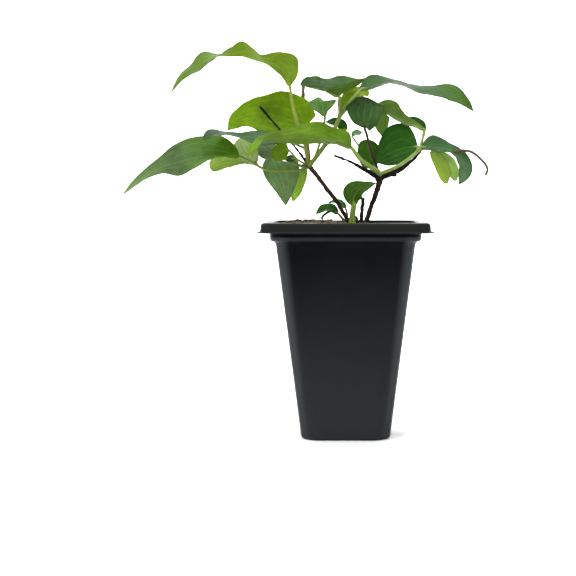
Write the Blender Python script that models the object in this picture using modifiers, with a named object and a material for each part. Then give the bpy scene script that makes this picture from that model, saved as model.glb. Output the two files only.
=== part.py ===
"""A young potted clematis: leafy stems in a tall, square nursery pot.

Metres, +Z up. The origin is the middle of the pot's underside, and the front looks along -Y.
"""
import math

import bmesh
import bpy
from mathutils import Matrix, Vector
from mathutils.noise import noise

MM = 0.001

# Driving dimensions of the pot
POT_HEIGHT = 0.128
LIP_HALF = 0.051
RIM_HALF = 0.049
RIM_DROP = 0.006
RIM_INNER_HALF = 0.0427
COLLAR_HALF = 0.0439
COLLAR_DROP = 0.005
SHOULDER_HALF = 0.0408
FOOT_HALF = 0.0263
FOOT_ROUND = 0.002
WALL = 0.0012
FLOOR = 0.0015
BODY_CORNER = 0.010
FOOT_CORNER = 0.012
RIM_CORNER = 0.007
CORNER_STEPS = 4
DRAIN_RADIUS = 0.0035
DRAIN_OFFSET = 0.0155

# Potting mix
MIX_TOP = 0.1248
MIX_MOUND = 0.0036
MIX_LUMP = 0.0007
MOUND_CENTRE = (-0.0185, 0.001)
MOUND_REACH = (0.0185, 0.024)

# Plant
BLADE_THICKNESS = 0.0007
GAP = 0.0003
TUBE_STEP = 0.0045
STALK_IN_BLADE = 0.0028
SEAT_RUN = 0.0012
LARGE_GRID = (10, 3)
SMALL_GRID = (6, 2)
SMALL_LEAF = 0.026
ROW_POWER = 1.15
RIB_STEPS = 120
CURVE_STEPS = 24
DOUBLES = 0.00004
HOLE_SIDES = 8
DRAIN_SIDES = 12
MIX_RINGS = (0.96, 0.86, 0.74, 0.6, 0.44, 0.26, 0.1)
LUMPS_PER_METRE = 160
SHARP_ANGLE = 40

# Front drawing: a unit is 0.6 mm in the pot's middle plane, seen from an eye in front of it
DRAWING_UNIT = 0.0006
EYE_DISTANCE = 0.9
EYE_HEIGHT = 0.1461
EYE_ACROSS = 345.6
EYE_DOWN = 191.3

# Knots are where stalks sit on a stem: a point of the drawing with its depth in mm, and a radius in mm
KNOTS = {
    "left": ((308.5, 165, -7.5), 2.0),
    "right": ((380, 176.5, 1.5), 2.8),
    "brown_low": ((306.9, 149, -0.7), 1.35),
    "brown_high": ((305.9, 141, 4.3), 1.7),
}

# Stems: path points are (across, down, depth in mm), radii in mm run from the foot to the tip
STEMS = {
    "stem_left": [
        dict(path=[(352.5, 245, 4), (350.4, 226, 3), (345, 215.5, 2), (340.6, 207.8, 1),
                   (335.5, 199.5, -1), (326.5, 188.7, -3), (320.2, 179.7, -5),
                   (311.2, 168.3, -7), (308.5, 165, -7.5)],
             radius=[1.35, 1.35, 1.35, 1.3, 1.5]),
        dict(path=[(308.5, 165, -7.5), (301, 155, -5.5), (294.6, 146.6, -4.3),
                   (280.5, 130.6, -1), (260.2, 106.9, 2)],
             radius=[0.95, 0.85, 0.75, 0.7]),
        dict(path=[(308.5, 165, -7.5), (307.4, 153.3, -3), (305.5, 138, 6), (304.6, 120, 13),
                   (303.5, 100, 14), (303.3, 84, 14)],
             radius=[1.25, 1.15, 0.95, 0.8, 0.75]),
    ],
    "stem_right": [
        dict(path=[(365.3, 245, 4), (366.4, 226, 4), (366.6, 221.2, 4), (371.2, 205.9, 4),
                   (375, 195.9, 3), (378.9, 184.4, 2), (380, 176.5, 1.5)],
             radius=[1.2, 1.3, 1.3, 1.6]),
        dict(path=[(380, 176.5, 1.5), (386, 174, 1), (394.2, 170.9, 1), (401.8, 167.6, 0.8),
                   (413.3, 159.2, 1.8), (422, 149.5, 3.6)],
             radius=[2.2, 2.3, 1.9, 1.2, 0.8, 0.6]),
        dict(path=[(380, 176.5, 1.5), (375, 175.4, 1), (363.6, 169.1, 1.5), (352.1, 162.6, 1),
                   (334.5, 155.4, -1)],
             radius=[1.8, 1.2, 0.8, 0.7]),
        dict(path=[(391, 172.8, 0.5), (394, 174.6, -0.6), (396.8, 175.6, -1.2)],
             radius=[1.0, 1.0, 0.35]),
    ],
    "stem_thin": [
        dict(path=[(360.7, 240, 2.4), (361, 226, 2.2), (361.3, 218, 2), (362.2, 208, 1.5),
                   (363.4, 198, 1)],
             radius=[0.75, 0.75]),
    ],
    "stem_stub": [
        dict(path=[(357.9, 238, 0.6), (357.9, 226, 0.8), (357.3, 221, 0.6), (355.9, 216.6, 0)],
             radius=[0.65, 0.55]),
    ],
}

# Leaves: stalk and rib are paths as above, face is the way the upper side looks at even stations
# along the rib, and half is the half width in mm at even stations from base to tip. A tuple gives
# the two sides of the rib, fold is the angle of each side to the face, and curl its bend outward.
LEAVES = {
    "leaf_top_left": [
        dict(knot="left",
             stalk=[(307.2, 157, -10.5), (305.2, 146, -10.5), (298.7, 127.3, -9.5),
                    (294.6, 113.2, -8), (291.6, 98.2, -7), (290, 87, -6)],
             radius=[0.8, 0.6],
             rib=[(290, 87, -6), (286, 80, -6), (278, 72.5, -6), (268, 65, -5), (256, 59.4, -4),
                  (243.6, 56.6, -4), (232, 56.6, -5), (222, 56.6, -6), (213, 57.5, -7),
                  (204, 61.5, -8), (196, 67.5, -9), (188, 72, -10), (180, 79.5, -11),
                  (170.7, 94.2, -12)],
             face=[(0.8, 0.25, 0.5), (0.5, 0.3, 0.8), (0.2, 0.3, 1), (0, 0.3, 1), (0, 0.2, 1),
                   (-0.1, -0.5, 0.87), (-0.3, -0.6, 0.8), (-0.4, -0.6, 0.7), (-0.6, -0.6, 0.5)],
             half=([2, 8, 12.5, 12, 11.5, 11.5, 11, 10, 8.5, 7, 5.5, 2.5, 0],
                   [2, 14, 14, 12, 11.5, 11.5, 11, 10, 9, 8, 6, 3, 0]),
             lobe=0, curl=8,
             fold=([50, 55, 40, 18, 12, 19, 18, -2, 6, -8, -12, -8, 0],
                   [43, 50, 30, -4, 5, 24, 6, 8, 8, 3, 5, 5, 0])),
    ],
    "leaf_round": [
        dict(knot="brown_high",
             stalk=[(305.2, 139, 0.5), (305, 134.5, 1.3), (305, 130.5, 3.8), (305, 127, 6)],
             radius=[0.8, 0.6],
             rib=[(305, 127, 6), (292, 121, 6.6), (277, 116, 7), (262, 113.5, 7.5), (248, 114.5, 9),
                  (236, 120.5, 11), (227.3, 131, 14)],
             face=[(0.1, -1, 0.35), (0.05, -1, 0.45), (0, -1, 0.5), (-0.3, -0.9, 0.5)],
             half=([9, 15.2, 16.6, 15.6, 11.2, 9.6, 7, 4, 0],
                   [5, 9, 12.5, 14, 13, 10, 8.2, 5.4, 0]),
             lobe=(3, 2), fold=(10, 8), curl=(6, -10), wave=(1.0, 2, 0.3)),
    ],
    "leaf_small_cupped": [
        dict(knot="left",
             stalk=[(314, 161, -8), (319, 146, -5), (322.5, 132, -2), (324.4, 122.5, 0),
                    (325, 117, 0)],
             radius=[0.6, 0.55],
             rib=[(325, 117, 0), (323.5, 110, 1), (321.5, 104, 3), (318.5, 97, 7)],
             face=[(0, -0.85, 0.5), (0, -0.85, 0.5), (0, -0.7, 0.7)],
             half=([1.2, 2.2, 6.5, 9, 2.4, 1.4, 0], [1.5, 3.5, 6.5, 8.5, 8.5, 5, 0]),
             lobe=0, fold=(12, 12), curl=(5, 10)),
    ],
    "leaf_top_pair": [
        dict(knot="left",
             stalk=[(313.5, 162, -12), (325.3, 144.7, -8), (335.6, 126.7, -2.5),
                    (339.8, 114.1, -1.5), (339.4, 104, -1.5), (339.5, 97, -2)],
             radius=[0.8, 0.6],
             rib=[(339.5, 97, -2), (333, 94.2, -3), (326, 91.4, -4), (318, 89.6, -5),
                  (309, 87.6, -6), (300, 85.2, -6.5)],
             face=[(0, 0, 1), (0, 0, 1)],
             half=([17.5, 18, 18, 16, 14, 12.2, 11.5, 11, 10, 8.5, 6.5],
                   [17, 15.5, 13.5, 12, 11, 10, 9, 7, 5, 3, 1]),
             lobe=9, curl=0,
             fold=([65, 58, 54, 50, 42, 42, 48, 47, 46, 51, 56],
                   [65, 52, 40, 23, 9, 0, -3, 0, 0, 0, 0])),
        dict(stalk=[(339.2, 117, -1.8), (350, 103, 0), (361.4, 90, 1)],
             radius=[0.8, 0.6],
             rib=[(361.4, 90, 1), (374, 85.2, 2), (391, 82.8, 3), (410, 86.5, 3), (428, 90, 2),
                  (449, 93, 1), (463, 101, 0), (474.1, 112.6, -1)],
             face=[(0.2, -0.75, 0.65), (0.1, -0.7, 0.75), (0, -0.6, 0.8), (0, -0.55, 0.85),
                   (0.25, -0.8, 0.65), (0.4, -0.8, 0.5)],
             half=([2.5, 9, 9.5, 9.5, 9, 8.5, 8, 5, 0], [2, 9, 10, 9.5, 9, 8.5, 8, 5, 0]),
             lobe=1, curl=3,
             fold=([30, 32, 32, 26, 10, 8, 6, 10, 10], [0, 0, -22, -27, -20, -8, 0, -8, 0])),
        dict(stalk=[(338.6, 119, -1.6), (342, 112, 3), (345, 107.5, 7)],
             radius=[0.7, 0.6],
             rib=[(345, 107.5, 7), (349.5, 101, 8), (356, 95.5, 10), (363, 93, 12),
                  (369, 95.5, 13)],
             face=[(-0.2, -0.9, 0.4), (0, -0.8, 0.6), (0.2, -0.8, 0.5)],
             half=([1.5, 3, 3.4, 3, 1.4], [1.5, 5.5, 6.4, 4.6, 2]),
             lobe=2, fold=8, curl=0),
    ],
    "leaf_dark_heart": [
        dict(knot="right",
             stalk=[(377.4, 169, 3), (375.4, 163, -1.5), (370.5, 149.9, -5), (366.5, 134, -6),
                    (364.8, 129, -5.5), (364.5, 126.5, -5)],
             radius=[0.55, 0.5],
             rib=[(364.5, 126.5, -5), (364, 117, -4), (365, 107, -2), (366.5, 97.5, 1)],
             face=[(0.1, -0.95, 0.3), (0.1, -0.95, 0.3), (0.2, -0.9, 0.3)],
             half=([3, 7.5, 9.4, 10.2, 11.2, 11.5, 10.8, 6.3, 2.5],
                   [1.5, 6.2, 8.4, 10.3, 11.9, 9.8, 7.6, 6.3, 3.3]),
             lobe=(3, 1), fold=8, curl=6),
    ],
    "leaf_right_spray": [
        dict(knot="right",
             stalk=[(382.2, 170.4, -5.5), (396, 167, -4.4), (405, 161.6, -2.9),
                    (418.3, 150.5, -1), (421.5, 142.2, 1), (424.5, 130.5, 3)],
             radius=[0.8, 0.6],
             rib=[(424.5, 130.5, 3), (414, 125.3, 6), (404, 119.8, 8.5), (395, 113.2, 11),
                  (388, 110, 13), (382.5, 114, 14), (381, 126, 14.5), (382.5, 137.8, 15)],
             face=[(0.3, -0.6, 0.7), (0.3, -0.6, 0.7), (0.2, -0.7, 0.7), (-0.2, -0.9, 0.4),
                   (-0.4, -0.9, 0.1)],
             half=([1, 3.2, 4, 4.8, 7.4, 5.2, 3.6, 0], [1.5, 3.5, 6, 6.8, 5, 5.4, 4.6, 0]),
             lobe=0, fold=8, curl=5),
        dict(stalk=[(422.5, 138.5, 1.8), (423.5, 130, 8)],
             radius=[0.55, 0.5],
             rib=[(423.5, 130, 8), (419, 124.5, 11), (412.5, 120.5, 14), (405, 118, 17)],
             face=[(0.2, -0.8, 0.5), (0.1, -0.8, 0.6), (0, -0.8, 0.6)],
             half=[1.5, 3.6, 3.8, 2.6, 0],
             lobe=1, fold=8, curl=0),
        dict(stalk=[(411, 157, -2), (417, 151, 1), (417.5, 146.5, 4)],
             radius=[0.6, 0.6],
             rib=[(417.5, 146.5, 4), (404, 148, 6), (390, 153, 6), (375, 162, 4)],
             face=[(0, -1, 0.25), (0, -1, 0.25), (0, -1, 0.25)],
             half=([7, 13.5, 15.5, 14.5, 10, 5, 0], [2, 6, 8, 8.8, 8.4, 6.5, 0]),
             lobe=0, fold=(6, 8), curl=(4, 4)),
        dict(stalk=[(416, 153, -1.2), (421, 147.2, -2)],
             radius=[0.7, 0.6],
             rib=[(421, 147.2, -2), (432, 147, -3), (445, 148.5, -4), (454, 151.2, -4.5),
                  (461, 157, -5), (464.3, 166, -6), (462.5, 176, -6.5), (458, 185.5, -7)],
             face=[(0, -0.8, 0.55), (0.1, -0.8, 0.6), (0.5, -0.7, 0.5), (0.7, -0.7, 0.2)],
             half=([2, 3, 4.6, 2.4, 3.6, 5.5, 4.7, 3, 0], [2, 8, 7.2, 4.6, 4.2, 5.2, 6, 4, 0]),
             lobe=0, fold=5, curl=5),
        dict(stalk=[(417.6, 151.3, -1), (424.5, 148, -0.5), (430, 149, 2.5), (432, 150, 4)],
             radius=[0.6, 0.5],
             rib=[(432, 150, 4), (437, 160, 4), (443, 173, 4), (446.5, 184, 3.5)],
             face=[(-0.2, -0.9, 0.3), (-0.2, -0.9, 0.2), (-0.2, -0.95, 0.1)],
             half=([2, 3, 3.2, 3.4, 3, 1], [2.5, 4, 4.6, 5.2, 4, 1]),
             lobe=0, fold=6, curl=0),
        dict(stalk=[(427, 148.2, 1), (432, 149.4, 3), (438, 152, 5.4)],
             radius=[0.5, 0.45],
             rib=[(438, 152, 5.4), (446, 159.5, 6), (452, 169, 6), (455.8, 181, 5.5)],
             face=[(-0.2, -0.9, 0.3), (0, -0.95, 0.2)],
             half=([1.5, 3, 4, 4, 3.2, 1], [1.5, 3, 4, 4, 3.2, 1]),
             lobe=0, fold=6, curl=0),
    ],
    "leaf_right_behind": [
        dict(knot="right",
             stalk=[(378.5, 170, 6), (376, 166, 9)],
             radius=[0.6, 0.6],
             rib=[(376, 166, 9), (369.5, 157, 11), (367, 149, 12), (367, 139.5, 12)],
             face=[(0, -1, 0.2), (0, -1, 0.2)],
             half=([2, 5.5, 8, 7.6, 5], [5, 7, 6.5, 5.5, 3.5]),
             lobe=0, fold=5, curl=0),
        dict(stalk=[(376.5, 166.8, 8.5), (366, 155, 16), (356, 142, 18), (352, 136, 18)],
             radius=[0.5, 0.45],
             rib=[(352, 136, 18), (354, 134, 18), (358, 133, 19), (363, 132.5, 20)],
             face=[(0, -0.8, 0.5), (0, -0.8, 0.5)],
             half=[1, 2.2, 2.2, 0],
             lobe=0, fold=5, curl=0),
    ],
    "leaf_centre": [
        dict(knot="right",
             stalk=[(377.2, 170.3, -2), (370.5, 167.1, -6), (360.9, 160.1, -11),
                    (351.5, 148, -15)],
             radius=[0.8, 0.6],
             rib=[(351.5, 148, -15), (340, 144.5, -17), (322, 143, -20), (303, 143.6, -23),
                  (285, 143, -26), (272, 140.5, -28), (262, 141.5, -28.5), (254.5, 147, -29),
                  (247.8, 156.5, -30)],
             face=[(0.1, 0.25, 1), (0, 0.25, 1), (0, 0.2, 1), (0, 0.1, 1), (0, -0.5, 0.8),
                   (-0.5, -0.7, 0.5)],
             half=([13, 13, 15, 14.5, 13, 11, 8, 5, 0], [3, 9, 14, 14.5, 13, 11, 8, 5, 0]),
             lobe=0, curl=3,
             fold=([74, 60, 68, 67, 56, 46, 10, -12, 0], [0, -10, -6, 4, 14, 20, 42, 18, 10])),
    ],
    "leaf_left_long": [
        dict(knot="left",
             stalk=[(304.2, 170.5, -10.2), (298, 170.8, -11.5), (281.9, 170.8, -13),
                    (266.6, 169.9, -14), (253.2, 163.2, -15), (239.5, 156.6, -16)],
             radius=[0.8, 0.6],
             rib=[(239.5, 156.6, -16), (222, 156, -17), (200, 157, -18), (180, 161.5, -19),
                  (160, 168, -20), (141, 179.5, -21), (121.2, 196.2, -22)],
             face=[(0, -0.75, 0.6), (0, -0.75, 0.65), (-0.1, -0.75, 0.65), (-0.2, -0.75, 0.6),
                   (-0.4, -0.7, 0.5)],
             half=([5, 14, 15, 15, 12.5, 7, 4.5, 3, 0], [4, 10, 11, 11.5, 11.5, 6, 3, 2, 0]),
             lobe=0, curl=4, fold=(4, [30, 45, 30, 12, 0, 5, 10, 10, 10])),
        dict(stalk=[(256, 165.2, -14.9), (252, 163.5, -11), (249, 162, -7)],
             radius=[0.55, 0.5],
             rib=[(249, 162, -7), (236, 160, -6), (222, 161, -5), (209.5, 167, -3)],
             face=[(0, -0.8, 0.5), (0, -0.8, 0.5)],
             half=([2, 4, 5, 5, 3], [1, 4, 6, 6.5, 4]),
             lobe=0, fold=5, curl=0),
        dict(stalk=[(262, 168.3, -14.3), (258.5, 166, -12), (256.5, 163, -9)],
             radius=[0.55, 0.5],
             rib=[(256.5, 163, -9), (250.5, 157, -6), (245, 149, -4), (240, 138, -2)],
             face=[(0, -1, 0.2), (0, -1, 0.2)],
             half=[2, 5.5, 7, 6.5, 3],
             lobe=0, fold=5, curl=0),
    ],
    "leaf_left_grey": [
        dict(knot="brown_low",
             stalk=[(302, 147.5, -4.5), (295, 144, -9), (286, 142, -10)],
             radius=[0.6, 0.55],
             rib=[(286, 142, -10), (268, 139.5, -12), (252, 138, -14), (236, 135.5, -17),
                  (221, 134, -20), (209.5, 135.5, -24), (202, 140.5, -26)],
             face=[(0, -0.4, 0.95), (0, -0.45, 0.9), (0, -0.3, 0.95), (0, -0.4, 0.9),
                   (-0.3, -0.6, 0.7)],
             half=[4, 9, 9.5, 8.5, 7.5, 7, 0],
             lobe=1, fold=([5, 5, 6, 0, -8, 4, 0], [5, 5, -6, 0, 14, 10, 5]), curl=3),
    ],
    "leaf_hanging": [
        dict(knot="left",
             stalk=[(303, 166, -5.2), (297.5, 165, -6), (288.3, 163.2, -8), (277.4, 160.5, -7),
                    (273.5, 157.5, -6)],
             radius=[0.65, 0.6],
             rib=[(273.5, 157.5, -6), (275.5, 167, -5), (281, 178, -5), (284.6, 191, -5),
                  (286, 206.2, -5)],
             face=[(0, -1, 0.4), (0, -1, 0.2), (0, -1, 0.1)],
             half=([4.2, 7.8, 8.4, 7.6, 5.7, 3.3, 0], [6, 13, 13.2, 10.2, 6.6, 3.3, 0]),
             lobe=(1, -3), fold=4, curl=0),
        dict(stalk=[(299, 165.4, -5.8), (301.5, 166.5, -2), (304, 168, 0)],
             radius=[0.5, 0.5],
             rib=[(304, 168, 0), (302, 176, 1), (299, 187, 2), (292.5, 201, 3)],
             face=[(0, -1, 0.1), (0, -1, 0.1)],
             half=([2, 4, 4, 3, 1], [2.5, 3.2, 2.8, 2.6, 1]),
             lobe=0, fold=5, curl=0),
    ],
    "leaf_left_small": [
        dict(knot="left",
             stalk=[(302.4, 163, -11.2), (297.5, 159.5, -15), (293.4, 155, -19), (289, 150, -21)],
             radius=[0.55, 0.5],
             rib=[(289, 150, -21), (284.5, 150.5, -21.5), (279, 154, -21.5), (273.5, 160, -21)],
             face=[(0, -1, 0.3), (0, -1, 0.3)],
             half=[3, 5.2, 5.4, 3.8, 0.5],
             lobe=0, fold=5, curl=0),
        dict(stalk=[(297.5, 159.5, -15), (288, 157.5, -11), (279, 156.5, -3), (276, 156, 1)],
             radius=[0.5, 0.45],
             rib=[(276, 156, 1), (270, 152, 1), (264, 147, 2), (258, 143, 3)],
             face=[(0, -1, 0.3), (0, -1, 0.3)],
             half=[2, 5.2, 6.4, 5, 1],
             lobe=0, fold=5, curl=0),
        dict(stalk=[(298.4, 160.2, -14.2), (296, 158.4, -13.8)],
             radius=[0.5, 0.45],
             rib=[(296, 158.4, -13.8), (290, 158.6, -13.2), (284, 160, -12.6)],
             face=[(0, -1, 0.3), (0, -1, 0.3)],
             half=[1, 2.2, 1.8, 0],
             lobe=0, fold=5, curl=0),
    ],
    "leaf_centre_behind": [
        dict(knot="left",
             stalk=[(313.5, 162, -3.5), (326, 146, 6), (340, 136, 12), (346, 130.5, 13)],
             radius=[0.55, 0.5],
             rib=[(346, 130.5, 13), (341, 124.5, 14), (334, 121.8, 15), (325, 122.5, 16)],
             face=[(0, -0.8, 0.5), (0, -0.8, 0.5)],
             half=[1.5, 3.2, 3.4, 2.4, 0],
             lobe=0, fold=5, curl=0),
    ],
    "shoot_broad": [
        dict(stalk=[(352.2, 240, 0.8), (352.1, 224.5, 0), (352.9, 211.2, -1), (353.8, 206, -1)],
             radius=[1.2, 1.2, 0.8],
             rib=[(353.8, 206, -1), (353.5, 198, -1), (358, 190.5, -2), (366, 186.5, -3),
                  (377, 183, -5)],
             face=[(0.5, -0.7, 0.6), (0.2, -0.7, 0.7), (0, -0.6, 0.8)],
             half=([2, 4.5, 6.5, 6, 4, 0], [2, 7, 7.5, 5, 3, 0]),
             lobe=0, fold=10, curl=5),
    ],
    "shoot_low": [
        dict(stalk=[(346.4, 238, 7), (345.6, 228, 5), (345.2, 222.5, 4.2), (342, 218, 4.2),
                    (338, 213.5, 4.2)],
             radius=[0.7, 0.6],
             rib=[(338, 213.5, 4.2), (331, 208.5, 4.2), (324, 208.5, 4.2), (315.4, 214.3, 4.2)],
             face=[(0, -0.7, 0.7), (0, -0.6, 0.8), (-0.3, -0.6, 0.6)],
             half=[1.5, 3.5, 4, 3, 0],
             lobe=0, fold=10, curl=0),
        dict(stalk=[(346.4, 238, 7), (347.3, 228, 9), (347.5, 219, 10), (347, 213, 10),
                    (345.5, 208.2, 10)],
             radius=[0.6, 0.5],
             rib=[(345.5, 208.2, 10), (341, 203, 11), (335, 201, 12), (327.6, 202.8, 13)],
             face=[(0, -0.6, 0.8), (0, -0.5, 0.8)],
             half=[1, 2.5, 2.5, 1.8, 0],
             lobe=0, fold=5, curl=0),
    ],
}

# Thin stalks with no leaf on them, in the node of the leaf that they grow from
BARE_STALKS = {
    "leaf_right_spray": dict(path=[(452, 152, -4.6), (460, 150.6, -4.8), (466, 150.8, -5),
                                   (470.2, 151.6, -5), (475.3, 154.4, -5), (481.6, 160.2, -5),
                                   (485.5, 164.7, -5), (487.4, 169.8, -5), (485.5, 174.9, -5)],
                             radius=[0.5, 0.4]),
    "shoot_low": dict(path=[(334, 210.4, 4.2), (330, 211.2, 4), (326, 213.4, 3.4),
                            (322.6, 216.4, 3), (322, 219, 3)],
                      radius=[0.5, 0.4]),
}

COLOURS = {
    "pot": (0.012, 0.013, 0.014),
    "potting_mix": (0.09, 0.05, 0.025),
    "stem": (0.035, 0.02, 0.014),
    "leaf": (0.10, 0.20, 0.045),
}
ROUGHNESS = {"pot": 0.38, "potting_mix": 0.95, "stem": 0.8, "leaf": 0.5}


def clear_scene():
    for thing in list(bpy.data.objects):
        bpy.data.objects.remove(thing, do_unlink=True)


def collection(name):
    made = bpy.data.collections.new(name)
    bpy.context.scene.collection.children.link(made)
    return made


def finish(body, kind, home):
    """Names the body's material, shades it and puts it in its collection."""
    skin = bpy.data.materials.new(body.name)
    skin.use_nodes = True
    shader = skin.node_tree.nodes["Principled BSDF"]
    shader.inputs["Base Color"].default_value = (*COLOURS[kind], 1)
    shader.inputs["Roughness"].default_value = ROUGHNESS[kind]
    shader.inputs["Metallic"].default_value = 0
    body.data.materials.clear()
    body.data.materials.append(skin)
    body.data.shade_smooth()
    body.data.set_sharp_from_angle(angle=math.radians(SHARP_ANGLE))
    home.objects.link(body)


def mesh_object(name, bm):
    mesh = bpy.data.meshes.new(name)
    bm.to_mesh(mesh)
    bm.free()
    return bpy.data.objects.new(name, mesh)


def at(across, down, depth):
    """The point seen at (across, down) in the front drawing, depth mm behind the pot's middle."""
    depth = depth * MM
    unit = DRAWING_UNIT * (EYE_DISTANCE + depth) / EYE_DISTANCE
    return Vector(((across - EYE_ACROSS) * unit, depth, EYE_HEIGHT + (EYE_DOWN - down) * unit))


def between(before, start, end, after, s):
    """Smooth value from start to end, with the neighbours on both sides."""
    line = (end - before) * s
    square = (2 * before - 5 * start + 4 * end - after) * s * s
    cube = (3 * start - before - 3 * end + after) * s ** 3
    return 0.5 * (2 * start + line + square + cube)


def spread(points, count):
    """Points evenly spaced along a smooth curve through the given ones, and its length."""
    ends = [2 * points[0] - points[1], *points, 2 * points[-1] - points[-2]]
    fine = []
    for i in range(1, len(ends) - 2):
        fine += [between(*ends[i - 1:i + 3], step / CURVE_STEPS) for step in range(CURVE_STEPS)]
    fine.append(points[-1])
    run = [0.0]
    for a, b in zip(fine, fine[1:]):
        run.append(run[-1] + (b - a).length)
    even = []
    i = 0
    for step in range(count):
        target = run[-1] * step / (count - 1)
        while i < len(run) - 2 and run[i + 1] < target:
            i += 1
        even.append(fine[i].lerp(fine[i + 1], (target - run[i]) / (run[i + 1] - run[i])))
    return even, run[-1]


def glide(values, t):
    """The value at t, from 0 to 1, on a smooth curve through values at even stations."""
    if not isinstance(values, list):
        return values
    if len(values) == 2:
        return values[0] + (values[1] - values[0]) * t
    ends = [2 * values[0] - values[1], *values, 2 * values[-1] - values[-2]]
    place = min(max(t, 0), 1) * (len(values) - 1)
    i = min(int(place), len(values) - 2)
    return between(*ends[i:i + 4], place - i)


def pair(value):
    """A value for each side of the rib."""
    return value if isinstance(value, tuple) else (value, value)


def blend(stations, t):
    """The direction at t between stations evenly spaced from 0 to 1."""
    place = min(max(t, 0), 1) * (len(stations) - 1)
    i = min(int(place), len(stations) - 2)
    return Vector(stations[i]).lerp(Vector(stations[i + 1]), place - i)


class Rib:
    """A leaf's midrib, with the directions of its blade along it."""

    def __init__(self, leaf):
        self.points, self.length = spread([at(*p) for p in leaf["rib"]], RIB_STEPS + 1)
        self.faces = leaf["face"]

    def frame(self, t):
        """Place, forward direction, the way the face looks, and sideways, at t from base to tip."""
        place = min(max(t, 0), 1) * RIB_STEPS
        i = min(int(place), RIB_STEPS - 1)
        before = self.points[max(i - 1, 0)]
        after = self.points[min(i + 2, RIB_STEPS)]
        forward = (after - before).normalized()
        face = blend(self.faces, t)
        face = (face - face.dot(forward) * forward).normalized()
        point = self.points[i].lerp(self.points[i + 1], place - i)
        return point, forward, face, forward.cross(face)


def blade_point(leaf, rib, t, across):
    """Where the flat blade's point at t along and across (-1 to 1) goes when it is bent."""
    which = 0 if across >= 0 else 1
    half = max(glide(pair(leaf["half"])[which], t), 0) * MM
    widest = max(pair(leaf["half"])[which]) * MM
    lobe = pair(leaf["lobe"])[which] * MM
    back = lobe * math.sin(abs(across) * math.pi / 2) ** 1.6 * (1 - t) ** 3
    run = rib.length * t - back
    point, forward, face, side = rib.frame(run / rib.length)
    point = point + forward * min(run, 0)
    fold = math.radians(glide(pair(leaf["fold"])[which], t))
    bend = math.radians(glide(pair(leaf["curl"])[which], t)) / widest
    if abs(bend) < 0.001:
        bend = 0.001
    reach = half * abs(across)
    out = (math.sin(fold + bend * reach) - math.sin(fold)) / bend
    up = -(math.cos(fold + bend * reach) - math.cos(fold)) / bend
    if "wave" in leaf:
        height, count, phase = leaf["wave"]
        turn = count * t + phase + 0.37 * which
        up += height * MM * across ** 2 * math.sin(2 * math.pi * turn) * min(1, 4 * (1 - t))
    return point + side * math.copysign(out, across) + face * up


def blade(name, leaf):
    """A thin bent blade, split into the same triangles on both of its sides."""
    rib = Rib(leaf)
    rows, halves = SMALL_GRID if rib.length < SMALL_LEAF else LARGE_GRID
    bm = bmesh.new()
    bmesh.ops.create_grid(bm, x_segments=rows, y_segments=2 * halves, size=1)
    for vertex in bm.verts:
        t = ((vertex.co.x + 1) / 2) ** ROW_POWER
        vertex.co = blade_point(leaf, rib, t, vertex.co.y)
    bmesh.ops.remove_doubles(bm, verts=bm.verts, dist=DOUBLES)
    bmesh.ops.triangulate(bm, faces=bm.faces)
    made = mesh_object(name, bm)
    shell = made.modifiers.new("thickness", "SOLIDIFY")
    shell.thickness = BLADE_THICKNESS
    shell.offset = 0
    shell.use_even_offset = True
    made.modifiers.new("triangles", "TRIANGULATE")
    return made


def tube(name, points, radii, resolution=1):
    """A round stalk through evenly spaced points, with radii in mm from its foot to its tip."""
    curve = bpy.data.curves.new(name, "CURVE")
    curve.dimensions = "3D"
    curve.bevel_depth = MM
    curve.bevel_resolution = resolution
    curve.use_fill_caps = True
    spline = curve.splines.new("POLY")
    spline.points.add(len(points) - 1)
    for i, (point, place) in enumerate(zip(spline.points, points)):
        point.co = (*place, 1)
        point.radius = glide(radii, i / (len(points) - 1))
    guide = bpy.data.objects.new(name + "_guide", curve)
    bpy.context.scene.collection.objects.link(guide)
    graph = bpy.context.evaluated_depsgraph_get()
    bm = bmesh.new()
    bm.from_mesh(bpy.data.meshes.new_from_object(guide.evaluated_get(graph)))
    bm.transform(guide.matrix_world)
    bpy.data.objects.remove(guide)
    bmesh.ops.remove_doubles(bm, verts=bm.verts, dist=DOUBLES)
    bmesh.ops.triangulate(bm, faces=bm.faces)
    return mesh_object(name, bm)


def run_of(places):
    """Evenly spaced points through places, as far apart as the tubes need."""
    length = spread(places, 2)[1]
    return spread(places, max(4, round(length / TUBE_STEP) + 1))[0]


def knot(name, which):
    place, radius = KNOTS[which]
    bm = bmesh.new()
    bmesh.ops.create_uvsphere(bm, u_segments=10, v_segments=7, radius=radius * MM)
    bmesh.ops.translate(bm, verts=bm.verts, vec=at(*place))
    bmesh.ops.triangulate(bm, faces=bm.faces)
    return mesh_object(name, bm)


def stalk_points(leaf):
    """The stalk from its seat on the knot, clear of the stem, to a little way up the blade."""
    places = [at(*p) for p in leaf["stalk"]]
    seat = []
    if "knot" in leaf:
        place, radius = KNOTS[leaf["knot"]]
        centre = at(*place)
        out = (places[0] - centre).normalized()
        seat = [centre + out * (radius * MM + GAP)]
        places = [seat[0] + out * SEAT_RUN] + places[1:]
    rib = Rib(leaf)
    return seat + run_of(places + [rib.frame(STALK_IN_BLADE / rib.length)[0]])


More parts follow.
